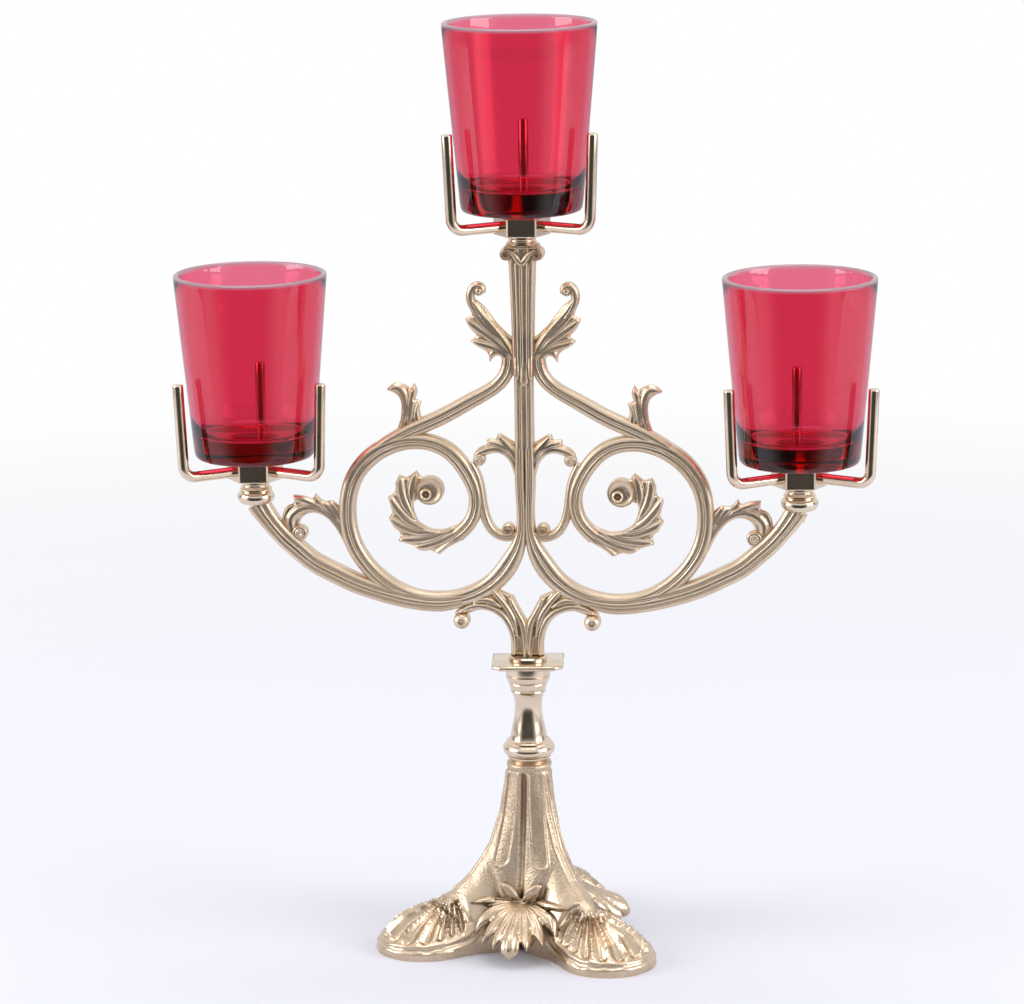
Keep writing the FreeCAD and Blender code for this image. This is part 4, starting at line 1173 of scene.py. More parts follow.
@dataclass
class Column:
    """The upper stem with the tongue that ends it, and the capital with two volutes."""

    brass: bpy.types.Material
    depth: float = 8.4
    capital_foot: float = 273.8
    capital_height: float = 6.6
    capital_half_width: float = 8.2
    capital_half_depth: float = 5.0
    slab_half: float = 0.6
    volute_radius: float = 2.65
    volute_inset: float = 2.2
    volute_drop: float = 3.3
    tongue_proud: float = 0.45
    points: int = 40
    swag_points: int = 36

    # Line in squares, depth as a share and reeds of the narrow lower bar and the wide upper one.
    BARS = (
        (((0.0, 21.0, 0.92), (0.0, 25.0, 0.92), (0.0, 30.4, 0.92)), 0.88, (-1.0, -0.45, 0.35, 1.0)),
        (((0.0, 28.2, 1.02), (0.0, 31.0, 1.06), (0.0, 35.5, 1.15), (0.0, 39.3, 1.30)), 1.0,
         (-1.0, -0.5, 0.1, 0.6, 1.0)),
    )
    # Across, half width and foot of each tongue, in squares.
    TONGUES = ((0.10, 0.50, 27.15), (-0.62, 0.34, 27.75), (0.74, 0.30, 27.75))
    # Across and down from the capital's top, along the swag between the volutes.
    SWAG = ((-5.6, 1.6), (-2.8, 3.4), (0.0, 6.6), (2.8, 3.4), (5.6, 1.6))

    def build(self) -> None:
        """Make the stem and the capital."""
        place = Drawing(Side.RIGHT).place
        shell = Shell()
        for line, depth, bounds in self.BARS:
            table = smooth_line(squares(line), self.points)
            reeds = Section(bounds, groove=0.14, crown=0.20).loop()
            thick = np.full(self.points, self.depth * depth / 2)
            shell.loft(sweep(table[:, :2], table[:, 2], thick, reeds, place))
        self.tongue(shell, place)
        shell.piece("upper_stem_reeded", self.brass, "polished_brass", STAND, ["upper_stem"])
        self.capital()

    def tongue(self, shell: Shell, place: Callable) -> None:
        """Add the round-ended tongues, where the wide reeds run out over the narrow ones.

        Args:
            shell: where the mesh goes.
            place: turns plane coordinates and a front distance into points.
        """
        rounded, straight = 14, 8
        round_end = np.sin(np.linspace(0.04, math.pi / 2, rounded))
        # Squares over the tongue's foot, then shares of its width and depth: it swells at its round
        # end and sinks back where it runs out.
        rise = np.concatenate([np.linspace(0, 1.4, rounded) ** 1.6 * 0.36, np.linspace(1.0, 2.6, straight)])
        share = np.concatenate([round_end, np.ones(straight)])
        sunk = np.concatenate([0.80 + 0.20 * round_end, np.linspace(1.0, 0.80, straight)])
        reed = Section((-1.0, 1.0), groove=0.22, crown=0.1).loop()
        for across, wide, foot in self.TONGUES:
            line = squares([(across, foot + value) for value in rise])
            half_depth = (self.depth / 2 + self.tongue_proud) * sunk
            shell.loft(sweep(line, wide * SQUARE_ACROSS * share, half_depth, reed, place))

    def capital(self) -> None:
        """Make the capital: a block under a slab, two volutes on each face and a swag between them."""
        place = Drawing(Side.RIGHT).place
        shell = Shell()
        low, top = self.capital_foot, self.capital_foot + self.capital_height
        wide, deep, thin = self.capital_half_width, self.capital_half_depth, self.slab_half
        slab = np.linspace((-wide * 0.78, top - thin), (wide * 0.78, top - thin), 6)
        plain = Section((-1.0, 1.0), groove=0.15, crown=0.1).loop()
        shell.loft(sweep(slab, np.full(6, thin), np.full(6, deep), plain, place))
        block = np.linspace((0.0, low), (0.0, top - thin), 10)
        reeds = Section((-1.0, -0.35, 0.35, 1.0), crown=0.2).loop()
        shell.loft(sweep(block, np.linspace(5.2, 5.7, 10), np.full(10, deep * 0.86), reeds, place))
        for sign in (-1, 1):
            centre = (sign * (wide - self.volute_inset) / SQUARE_ACROSS,
                      (top - self.volute_drop - SCROLL_FOOT) / SQUARE_UP)
            Curl(centre, self.volute_radius / SQUARE_ACROSS).add(shell, place, deep * 2.1)
        swag = smooth_line([(across, top - drop) for across, drop in self.SWAG], self.swag_points)
        # The swag is thickest where it hangs lowest.
        thick = 0.95 + 0.5 * np.sin(np.linspace(0, np.pi, self.swag_points)) ** 2
        shell.loft(sweep(swag, thick, np.full(self.swag_points, deep * 1.06), plain, place))
        shell.piece("capital_carved", self.brass, "polished_brass", STAND, ["capital"])


# Turned stem


@dataclass
class Baluster:
    """The turned stem between foot and scrollwork, with its plate and seat ring."""

    brass: bpy.types.Material
    foot: float = FOOT_TOP
    height: float = 39.5
    plate_half_width: float = 14.2
    plate_half_depth: float = 11.0
    plate_clip: float = 3.2
    plate_thickness: float = 2.0
    plate_turn: float = 5.0
    plate_round: float = 0.8
    seat_radius: float = 7.6
    seat_height: float = 2.1

    # Radius and height under the torus knob, and over it.
    LOWER = (
        (0.1, 0.0), (6.9, 0.0), (7.1, 0.3), (7.1, 1.0), (7.4, 1.5), (8.4, 2.0), (8.8, 2.4), (8.9, 3.0),
    )
    UPPER = (
        (8.75, 8.3), (8.75, 8.8), (8.4, 9.2), (7.5, 9.6), (7.3, 10.0),
        (7.0, 12.0), (6.55, 14.2), (6.05, 16.4), (5.65, 18.6), (5.4, 20.6), (5.3, 22.6), (5.4, 24.4),
        (5.75, 26.2), (6.2, 27.6), (6.5, 28.6),
        (6.7, 28.8), (6.95, 29.0), (6.95, 29.5), (6.75, 29.8), (7.0, 30.2), (7.4, 31.2), (7.7, 32.2),
        (7.75, 32.5), (7.6, 32.8), (8.1, 33.1), (8.5, 33.9), (8.75, 34.8), (8.85, 35.6),
        (8.6, 35.8), (8.6, 36.1), (8.9, 36.4), (8.95, 37.2), (8.9, 39.0), (8.6, 39.4), (8.3, 39.5),
        (0.1, 39.5),
    )

    def build(self) -> None:
        """Make stem, plate and seat."""
        shell = Shell()
        knob = arc((7.6, 5.6), 2.75, -70, 64, 15)
        turned(shell, [*self.LOWER, *knob, *self.UPPER], foot=self.foot)
        shell.piece("baluster_turned", self.brass, "polished_brass", STAND, ["baluster"], crease=35)
        self.plate()
        seat = Shell()
        rise = self.seat_height
        turned(seat, [(0.1, 0.0), (self.seat_radius - 0.3, 0.0), (self.seat_radius, 0.3),
                      (self.seat_radius, rise - 0.5), (self.seat_radius - 0.5, rise), (0.1, rise)],
               foot=self.foot + self.height + self.plate_thickness)
        seat.piece("seat_ring_turned", self.brass, "polished_brass", STAND, ["seat_ring"])

    def plate(self) -> None:
        """Make the thin plate with its clipped front corners and softened edges."""
        wide, deep, clip = self.plate_half_width, self.plate_half_depth, self.plate_clip
        outline = np.array([(-wide, deep), (-wide, clip - deep), (clip - wide, -deep), (wide - clip, -deep),
                            (wide, clip - deep), (wide, deep)])
        turn = math.radians(self.plate_turn)
        outline = outline @ np.array([[math.cos(turn), math.sin(turn)], [-math.sin(turn), math.cos(turn)]])
        low = self.foot + self.height
        rows = []
        for bearing in np.radians((-90, -60, -30, 0, 30, 60, 90)):
            inset = self.plate_round * (1 - math.cos(bearing))
            height = self.plate_thickness * (1 + math.sin(bearing)) / 2
            shrunk = outline * (1 - inset / np.array([wide, deep]))
            rows.append(np.column_stack([shrunk, np.full(len(shrunk), low + height)]))
        shell = Shell()
        shell.loft(rows)
        shell.piece("abacus_plate_cut", self.brass, "polished_brass", STAND, ["abacus_plate"], crease=40)


# Foot


@dataclass
class Foot:
    """The cast foot: a flaring shaft, three scalloped lobes and a leaf palmette in each gap.

    A point of it is given ahead, along its lobe, and aside, across it.

    Args:
        rim: height of a lobe's edge over the floor.
        arch: height of the edge between the lobes, and arch_band how far it drops from there.
        arch_bearings: degrees off a lobe between which its rim rises to the arch.
        flare_end: radii between which the flaring shaft passes into the domed lobes.
        lobe_start: radii between which the shaft's relief gives way to the fan's.
        ridge: radius and height of the plain form along a lobe's middle.
        valley: radius and height of it halfway between two lobes.
        outline: ahead and aside, round one half of a lobe.
    """

    brass: bpy.types.Material
    height: float = FOOT_TOP
    top_radius: float = 8.6
    lobe_angles: tuple[float, ...] = (80.0, 200.0, 320.0)
    wall: float = 2.4
    rim: float = 3.1
    arch: float = 4.6
    arch_band: float = 1.2
    arch_bearings: tuple[float, float] = (44.0, 58.0)
    flare_end: tuple[float, float] = (22.0, 34.0)
    lobe_start: tuple[float, float] = (29.0, 32.5)
    around: int = 168
    down: int = 150
    fine: int = 420
    band_steps: int = 5
    ridge: tuple[tuple[float, float], ...] = (
        (8.6, 73.4), (9.4, 65.5), (11.6, 54.5), (16.2, 41.0), (20.2, 34.6), (24.6, 28.6), (31.0, 22.8),
        (38.0, 19.2), (46.0, 16.8), (52.5, 13.8), (57.0, 9.8), (60.2, 6.0), (61.8, 4.0), (62.6, 3.1),
    )
    valley: tuple[tuple[float, float], ...] = (
        (8.6, 73.4), (8.8, 65.5), (10.0, 52.0), (11.6, 41.0), (14.0, 28.0), (16.4, 20.0), (17.6, 12.0),
        (18.0, 5.0),
    )
    outline: tuple[tuple[float, float], ...] = (
        (9.0, 15.6), (14.5, 15.3), (20.0, 15.0), (26.0, 15.2), (33.0, 16.6), (39.0, 18.5), (43.6, 19.0),
        (50.0, 17.9), (56.0, 14.4), (60.2, 9.4), (62.2, 4.6), (62.6, 0.0),
    )
    fan_apex: float = 33.0
    fan_gouges: int = 22
    fan_height: float = 0.7
    gouge_depth: float = 2.7
    border_height: float = 0.45
    groove_depth: float = 2.1
    groove_half: float = 1.1
    panel_foot: float = 33.0
    panel_bead: float = 0.40
    panel_depth: float = 0.25
    crest_height: float = 0.35
    crest_bead: float = 0.25

    # Half the angle between two lobes, in degrees.
    HALF_SECTOR = 60.0
    # A height that stands for no surface, and where the fan's round border has its centre and radius.
    NOWHERE = -10.0
    ROUND_CENTRE = 43.6
    ROUND_RADIUS = 19.0

    def build(self) -> None:
        """Make the walled shell and the palmettes."""
        half = smooth_line(self.outline, self.around // 2 + 1)
        edge = np.concatenate([half, (half * (1, -1))[-2::-1]])
        local = np.array([self.meridian(*point) for point in edge])
        lift = np.tile(self.relief(local)[:-1], (3, 1))
        plain = np.concatenate([self.spun(local[:-1], angle) for angle in reversed(self.lobe_angles)])
        normal = np.cross(np.roll(plain, 1, axis=0) - np.roll(plain, -1, axis=0), np.gradient(plain, axis=1))
        normal /= np.linalg.norm(normal, axis=2)[..., None]
        # Row 20 lies on the shaft, where the normals have to point away from the axis.
        if (normal[:, 20, :2] * plain[:, 20, :2]).sum() < 0:
            normal = -normal
        outer = plain + normal * lift[..., None]
        inner = plain - normal * self.wall
        inner[..., 2] = np.maximum(inner[..., 2], plain[:, -1:, 2])
        inner[:, 0, 2] = plain[:, 0, 2]
        loops = [np.concatenate([skin, lining[::-1]]) for skin, lining in zip(outer, inner)]
        shell = Shell()
        shell.loft([*loops, loops[0]], ends=False)
        for angle in self.lobe_angles:
            Palmette(self).add(shell, angle + self.HALF_SECTOR)
        shell.piece("foot_shell", self.brass, "cast_brass", STAND, ["foot"], crease=72)

    def spun(self, points: np.ndarray, angle: float) -> np.ndarray:
        """Turn points about the stem's axis.

        Args:
            points: points in a lobe's own frame.
            angle: direction of the lobe in degrees.

        Returns:
            The points in the object's frame.
        """
        turn = math.radians(angle)
        ahead, aside = points[..., 0], points[..., 1]
        return np.stack([ahead * math.cos(turn) - aside * math.sin(turn),
                         ahead * math.sin(turn) + aside * math.cos(turn), points[..., 2]], axis=-1)

    def meridian(self, ahead: float, aside: float) -> np.ndarray:
        """Draw one line of the plain surface from the top ring down to a point of the outline.

        Args:
            ahead: the outline point along the lobe.
            aside: the outline point across the lobe.

        Returns:
            Points in millimetres, in the lobe's own frame.
        """
        toward = math.atan2(aside, ahead)
        # The line is sampled finely, most of all on the steep shaft, and then spaced evenly.
        fine = np.linspace(0, 1, self.fine) ** 2.2
        first = np.array([math.cos(toward), math.sin(toward)]) * self.top_radius
        plan = first + (np.array([ahead, aside]) - first) * fine[:, None]
        raised = float(smooth_share(np.array(abs(math.degrees(toward))), *self.arch_bearings))
        rise = np.maximum(self.surface(plan[:, 0], plan[:, 1]), self.rim + (self.arch - self.rim) * raised)
        line = np.column_stack([plan, rise])
        steps = distances(line)
        places = np.linspace(0, steps[-1], self.down)
        line = np.column_stack([np.interp(places, steps, line[:, axis]) for axis in range(3)])
        # Under its edge the wall drops as a band: to the floor on a lobe, a little way on the arch.
        floor = 0.0 if raised < 0.5 else self.arch - self.arch_band
        low = line[-1] * (1, 1, 0)
        heights = np.linspace(line[-1][2], floor, self.band_steps + 1)[1:]
        band = [low + (0, 0, height) for height in heights]
        return np.concatenate([line, band])

    def half_width(self, ahead: np.ndarray) -> np.ndarray:
        """Half width of a lobe at distances along it."""
        return np.interp(ahead, *np.transpose(self.outline))

    def surface(self, ahead: np.ndarray, aside: np.ndarray) -> np.ndarray:
        """Find the height of the plain form over the floor.

        Args:
            ahead: distances along the lobe.
            aside: distances across it.

        Returns:
            Heights.
        """
        away = np.hypot(ahead, aside)
        top = np.interp(away, *np.transpose(self.ridge))
        low = np.interp(away, *np.transpose(self.valley), right=self.NOWHERE)
        bearing = np.degrees(np.abs(np.arctan2(aside, ahead)))
        # From ridge to valley the flare falls off as a quarter of a wave.
        share = np.cos(np.radians(np.clip(bearing, 0, self.HALF_SECTOR) * 1.5)) ** 1.3
        flare = low + (top - low) * share
        width = np.maximum(self.half_width(ahead), 0.1)
        along = np.interp(ahead, *np.transpose(self.ridge))
        cross = (1 - np.clip(np.abs(aside) / width, 0, 1) ** 1.7) ** 0.8
        dome = self.rim + (along - self.rim) * cross
        blend = smooth_share(away, *self.flare_end)
        return flare * (1 - blend) + dome * blend

    def height_at(self, x: np.ndarray, y: np.ndarray) -> np.ndarray:
        """Find the height of the plain form at points of the plan.

        Args:
            x: their X.
            y: their Y.

        Returns:
            Their heights, far below the floor where there is no foot.
        """
        heights = []
        for angle in self.lobe_angles:
            turn = math.radians(angle)
            ahead = x * math.cos(turn) + y * math.sin(turn)
            aside = y * math.cos(turn) - x * math.sin(turn)
            in_sector = np.degrees(np.abs(np.arctan2(aside, ahead))) <= self.HALF_SECTOR + 0.5
            inside = in_sector & (np.abs(aside) < self.half_width(ahead))
            heights.append(np.where(inside, self.surface(ahead, aside), self.NOWHERE))
        return np.max(heights, axis=0)

    def relief(self, local: np.ndarray) -> np.ndarray:
        """Find how far fan, borders, panels and groove stand out of the plain form.

        Args:
            local: points of the plain form in the lobe's own frame.

        Returns:
            Millimetres along the surface's normal.
        """
        ahead, aside, rise = local[..., 0], local[..., 1], local[..., 2]
        out = np.hypot(ahead, aside)
        bearing = np.abs(np.arctan2(aside, ahead))
        on_lobe = smooth_share(out, *self.lobe_start)
        # The fan: gouges that spread from its apex and end in round heads inside a fine border.
        spoke = np.arctan2(aside, ahead - self.fan_apex)
        reach = np.hypot(ahead - self.fan_apex, aside)
        from_edge = self.half_width(ahead) - np.abs(aside)
        from_tip = self.ROUND_RADIUS - np.hypot(ahead - self.ROUND_CENTRE, aside)
        inner = np.where(ahead > self.ROUND_CENTRE, from_tip, from_edge)
        trough = np.abs(np.cos(spoke * self.fan_gouges / 2))
        open_end = smooth_share(inner - 1.4 * (1 - trough), 1.9, 3.0)
        fan = (self.fan_height - self.gouge_depth * trough ** 0.8) * smooth_share(reach, 1.0, 8.0)
        fan *= open_end
        border = self.border_height * (ridge_share(inner, 1.5, 0.4) - ridge_share(inner, 0.8, 0.35))
        # The shaft: a groove between lobes, a sunk panel on each flank and a crest with side beads.
        sector = math.radians(self.HALF_SECTOR)
        gap = (sector - bearing) * out
        ridge_gap = bearing * out
        groove = -self.groove_depth * ridge_share(gap, 0.0, self.groove_half)
        groove *= 0.45 + 0.55 * smooth_share(rise, 25.0, 60.0)
        span = sector * out
        half = np.minimum(0.30 * span, 3.0)
        below = np.minimum(0.0, rise - (self.panel_foot + half))
        depth = half - np.hypot(ridge_gap - 0.47 * span, below)
        panel = self.panel_bead * ridge_share(depth, 0.0, 0.36)
        panel -= self.panel_depth * smooth_share(depth, 0.2, 0.9)
        crest = self.crest_height * ridge_share(ridge_gap, 0.0, 0.7)
        crest += self.crest_bead * ridge_share(ridge_gap, 1.9, 0.45)
        drop = self.height - rise
        collar = 0.3 * ridge_share(drop, 0.9, 0.7) - 0.35 * ridge_share(drop, 2.5, 0.5)
        neck = smooth_share(drop, 2.6, 4.0)
        lift = (fan + border) * on_lobe + ((groove + panel + crest) * neck + collar) * (1 - on_lobe)
        # The edge and the band under it stay plain.
        lift[:, -(self.band_steps + 1):] = 0.0
        return lift


@dataclass
class Palmette:
    """The spread leaf that hangs over the gap between two lobes of the foot.

    Its outline is drawn in millimetres aside from its middle and down from its heart, along the slope
    of radii and heights that it hangs on; one half is listed, from the top round to the hanging tip.

    Args:
        foot: the foot that it is cast on.
        slope: radius and height of the line that it hangs on.
        turn: degrees from the middle of the gap.
        proud: how far it stands out where it lies on the foot.
        depth: its thickness.
        lean: how far the part over its heart leans back, for each millimetre up.
        stand: how far that part rises, for each millimetre up.
        bow: how far its sides bend back, for each millimetre aside squared.
        droop: how far they hang down, in the same way.
        bedded: how deep it may lie in the foot before it is pushed out.
    """

    foot: Foot
    slope: tuple[tuple[float, float], ...] = (
        (17.0, 19.0), (24.0, 16.8), (30.0, 14.2), (35.0, 12.2), (38.0, 9.8), (39.2, 6.8), (38.6, 3.4),
    )
    turn: float = 4.0
    proud: float = 0.5
    depth: float = 5.0
    channel: float = 0.34
    edge: float = 1.3
    grain: float = 0.42
    lean: float = 0.12
    stand: float = 0.95
    bow: float = 0.003
    droop: float = 0.032
    bedded: float = 0.6
    drape_steps: int = 9
    drape_share: float = 0.30
    probe: float = 0.3
    steepest: float = 3.0
    half: Stretches = (
        ((0.0, -2.0),), ((1.2, -4.4), (4.4, -8.0), (8.6, -9.0)), ((7.8, -5.0), (4.8, -1.6)),
        ((9.0, -2.2), (14.6, -2.0), (20.6, 0.9)), ((14.8, 2.6), (9.6, 2.5)),
        ((15.6, 6.8), (16.8, 11.6)), ((12.8, 10.4), (9.0, 8.8)),
        ((12.2, 13.4), (12.2, 18.8)), ((8.8, 16.4), (6.4, 14.0)),
        ((8.0, 18.8), (6.8, 24.6)), ((4.4, 21.6), (2.6, 18.4)), ((3.7, 22.6), (3.2, 26.6), (0.0, 29.4)),
    )
    veins: tuple[Vein, ...] = (
        Vein(((0.4, -0.8), (3.6, -4.6), (8.0, -8.4)), 2.0),
        Vein(((0.6, 0.0), (7.2, -0.2), (13.8, 0.0), (20.0, 0.9)), 2.0),
        Vein(((0.6, 0.4), (6.0, 3.0), (11.4, 6.2), (16.4, 11.0)), 2.3),
        Vein(((0.5, 0.8), (4.8, 5.8), (9.0, 11.2), (12.0, 18.0)), 2.3),
        Vein(((0.4, 1.2), (2.8, 7.8), (5.0, 15.6), (6.6, 23.8)), 2.1),
        Vein(((0.0, 0.0), (0.0, 10.0), (0.0, 20.0), (0.0, 28.6)), 2.3),
    )

    def add(self, shell: Shell, angle: float) -> None:
        """Add one palmette.

        Args:
            shell: the foot that it is cast on.
            angle: direction of the gap in degrees.
        """
        line = smooth_line(self.slope, 60)
        lengths = distances(line)
        way = headings(line)
        turn = math.radians(angle + self.turn)

        def place(aside: np.ndarray, down: np.ndarray, front: np.ndarray) -> np.ndarray:
            """Hang points of the drawing on the slope, and seat them where the foot comes through.

            Args:
                aside: distances aside from the middle.
                down: distances down from the heart.
                front: distances out of the slope.

            Returns:
                One row of X, Y and Z for each point.
            """
            # Above its heart the leaf stands up from the slope and leans back.
            above = np.clip(-down, 0, None)
            tilt = smooth_share(above, -2.5, 5.0)
            outward = -np.interp(down, lengths, way[:, 1]) * (1 - tilt) + 0.96 * tilt
            upward = np.interp(down, lengths, way[:, 0]) * (1 - tilt) + 0.28 * tilt
            out = np.interp(down, lengths, line[:, 0]) - self.lean * above - self.bow * aside ** 2
            high = np.interp(down, lengths, line[:, 1]) + self.stand * above
            # Lower down its sides droop.
            high -= self.droop * aside ** 2 * smooth_share(down, 2.0, 18.0)
            # Where the foot comes through, the leaf is pushed out until it lies on it.
            for _ in range(self.drape_steps):
                plan = np.stack([out * math.cos(turn) - aside * math.sin(turn),
                                 out * math.sin(turn) + aside * math.cos(turn)])
                ground = self.foot.height_at(*plan)
                out = out + self.drape_share * np.clip(ground - high - self.bedded, 0, 3)
            # Its thickness follows its own slope where it hangs free, and the foot's where it lies.
            free = np.stack([outward * math.cos(turn), outward * math.sin(turn), upward])
            change = [
                self.foot.height_at(*(plan + step)) - self.foot.height_at(*(plan - step))
                for step in np.eye(2)[:, :, None] * self.probe
            ]
            fall = np.clip(np.array(change) / (2 * self.probe), -self.steepest, self.steepest)
            flat = np.stack([*-fall, np.ones_like(high)])
            flat /= np.linalg.norm(flat, axis=0)
            seated = smooth_share(ground - high, -1.5, 0.5)
            normal = free * (1 - seated) + flat * seated
            rise = np.maximum(high, ground)
            return (np.stack([*plan, rise]) + normal * (front + self.proud * seated)).T

        right = closed_outline((*self.half, self.half[0]), 0.6)
        turn_back = int(np.argmax(right[:, 1]))
        right = right[:turn_back + 1]
        outline = np.concatenate([right, (right * (-1, 1))[-2:0:-1]])
        veins = []
        for vein in self.veins:
            for sign in ((1,) if vein.line[-1][0] == 0 else (1, -1)):
                spine = smooth_line([(aside * sign, down) for aside, down in vein.line], VEIN_POINTS)
                veins.append((spine, vein.width, self.channel))
        Carving(outline, tuple(veins), self.depth, self.edge, self.grain).add(shell, place)


# Lights


@dataclass
class Light:
    """One light: spool, hexagonal hub, three bent prongs and its glass cup."""

    side: str
    left: float
    collar_foot: float
    hub_foot: float
    brass: bpy.types.Material
    glass: bpy.types.Material
    hub_flats: float = 19.0
    hub_height: float = 7.5
    hub_break: float = 0.035
    root_sunk: float = 0.4
    prong_radius: float = 2.15
    turn: float = 5.0
    prong_circle: float = 30.4
    prong_bend: float = 5.0
    prong_height: float = 41.0
    prong_lean: float = 1.55
    cup_gap: float = 1.9
    cup_height: float = 72.5
    cup_foot_radius: float = 23.5
    cup_top_radius: float = 30.0
    cup_wall: float = 2.3
    cup_base: float = 8.7

    # How far the hub's edge is set in at each height over its face.
    HUB_EDGE = ((0.6, 0.0), (0.2, 0.12), (0.0, 0.45))
    # Radius and height of the bead under a side light's spool; radius and share of height of a spool.
    BEAD = ((5.9, 0.0), (6.5, 0.35), (7.0, 1.1), (7.28, 2.0), (7.3, 2.9), (7.0, 3.8), (6.4, 4.5), (5.9, 4.75))
    BEAD_HEIGHT = 4.9
    SPOOL = ((6.0, 0.02), (6.3, 0.10), (6.3, 0.22), (5.7, 0.34), (5.3, 0.46), (5.2, 0.55), (5.35, 0.66),
             (5.8, 0.76), (6.3, 0.84), (6.3, 0.95))

    def build(self) -> None:
        """Make every piece of the light."""
        self.collar()
        self.hub()
        for name, angle in (("back", 90.0), ("front_left", 210.0), ("front_right", 330.0)):
            self.prong(name, angle + self.turn)
        self.cup()

    def collar(self) -> None:
        """Make the waisted spool, with a bead under it on a side light."""
        shell = Shell()
        height = self.hub_foot - self.collar_foot
        bead, base = ((), 0.0) if self.side == "centre" else (self.BEAD, self.BEAD_HEIGHT)
        span = height - base
        spool = [(radius, base + share * span) for radius, share in self.SPOOL]
        profile = [(0.1, 0.0), *bead, *spool, (6.0, height), (0.1, height)]
        turned(shell, profile, self.left, self.collar_foot, 56)
        shell.piece(f"{self.side}_collar_turned", self.brass, "polished_brass", STAND,
                    [f"{self.side}_collar"], crease=35)

    def hub(self) -> None:
        """Make the hexagonal hub with a flat towards the viewer, its edges broken."""
        shell = Shell()
        apothem = self.hub_flats / 2
        corner = apothem / math.cos(math.pi / 6)
        rows = []
        upper = ((inset, self.hub_height - height) for inset, height in reversed(self.HUB_EDGE))
        for inset, height in (*self.HUB_EDGE, *upper):
            points = []
            reach = corner - inset
            for turn in range(6):
                start = math.radians(60 * turn + self.turn)
                points += [
                    (self.left + reach * math.cos(bearing), reach * math.sin(bearing), self.hub_foot + height)
                    for bearing in (start - self.hub_break, start + self.hub_break)
                ]
            rows.append(np.array(points))
        shell.loft(rows)
        shell.piece(f"{self.side}_hub_milled", self.brass, "polished_brass", STAND, [f"{self.side}_hub"],
                    crease=18)

    def prong(self, name: str, angle: float) -> None:
        """Make one bent rod, cut square, with its edge broken at the tip.

        Args:
            name: which prong it is.
            angle: its direction in degrees.
        """
        start = self.hub_flats / 2 - self.root_sunk
        rise = self.prong_height - self.hub_height / 2
        tilt = math.atan2(self.prong_lean, rise)
        setback = self.prong_bend * math.tan((math.pi / 2 - tilt) / 2)
        centre = (self.prong_circle - setback, self.prong_bend)
        line = [(start, 0.0), ((start + centre[0]) / 2, 0.0)]
        line += arc(centre, self.prong_bend, -90, -math.degrees(tilt), 14)
        tip = (self.prong_circle + self.prong_lean, rise)
        last = line[-1]
        line += [(last[0] + (tip[0] - last[0]) * share, last[1] + (tip[1] - last[1]) * share)
                 for share in (0.33, 0.66, 0.98, 0.99, 1.0)]
        widths = np.full(len(line), self.prong_radius)
        widths[-2:] *= (0.97, 0.86)
        around = np.linspace(0, 2 * math.pi, 20, endpoint=False)
        ring = np.column_stack([np.cos(around), np.sin(around)])
        turn = math.radians(angle)
        low = self.hub_foot + self.hub_height / 2

        def place(out: np.ndarray, up: np.ndarray, front: np.ndarray) -> np.ndarray:
            """Turn out, up and sideways of the rod's plane into points."""
            return np.stack([self.left + out * math.cos(turn) + front * math.sin(turn),
                             out * math.sin(turn) - front * math.cos(turn), low + up], axis=-1)

        shell = Shell()
        shell.loft(sweep(np.array(line), widths, widths, ring, place))
        shell.piece(f"{self.side}_prong_{name}_bent", self.brass, "polished_brass", STAND,
                    [f"{self.side}_prong_{name}"])

    def cup(self) -> None:
        """Make the tapered cup with its thick base, and mark its rim for a painted highlight."""
        foot, top, wall = self.cup_foot_radius, self.cup_top_radius, self.cup_wall
        inner_foot, base, high = foot - wall, self.cup_base, self.cup_height
        profile = [(0.1, 0.9), (foot - 5.0, 0.6), (foot - 2.6, 0.0), (foot - 1.6, 0.0), (foot - 0.7, 0.3),
                   (foot - 0.15, 1.0), (foot + 0.05, 2.0)]
        # The wall outside, the lip, the wall inside and the floor of the cup.
        profile += [(foot + (top - foot) * share, high * share) for share in np.linspace(0.05, 0.975, 12)]
        profile += [(top - 0.15, high - 0.5), (top - 0.6, high - 0.1), (top - wall / 2, high),
                    (top - wall + 0.5, high - 0.1), (top - wall + 0.1, high - 0.5)]
        profile += [
            (inner_foot + (top - foot) * share, high * share) for share in np.linspace(0.975, 0.17, 12)
        ]
        profile += [(inner_foot + 0.2, base + 2.2), (inner_foot - 0.5, base + 1.0),
                    (inner_foot - 1.8, base + 0.3), (inner_foot - 4.0, base), (0.1, base - 0.3)]
        shell = Shell()
        low = self.hub_foot + self.hub_height + self.cup_gap
        turned(shell, profile, self.left, low, 112)
        item = shell.piece(f"{self.side}_cup_pressed", self.glass, "ruby_glass", f"{self.side}_cup",
                           [f"{self.side}_glass"], crease=40)
        # The rim is marked on the mesh, so that the glass can be painted pale and frosted there as a painted
        # highlight.
        places = np.empty(len(item.data.vertices) * 3)
        item.data.vertices.foreach_get("co", places)
        share = smooth_share(places[2::3] / MM, low + high - 1.6, low + high - 0.6)
        item.data.attributes.new(PAINTED_RIM_HIGHLIGHT, "FLOAT", "POINT").data.foreach_set("value", share)


# Studio


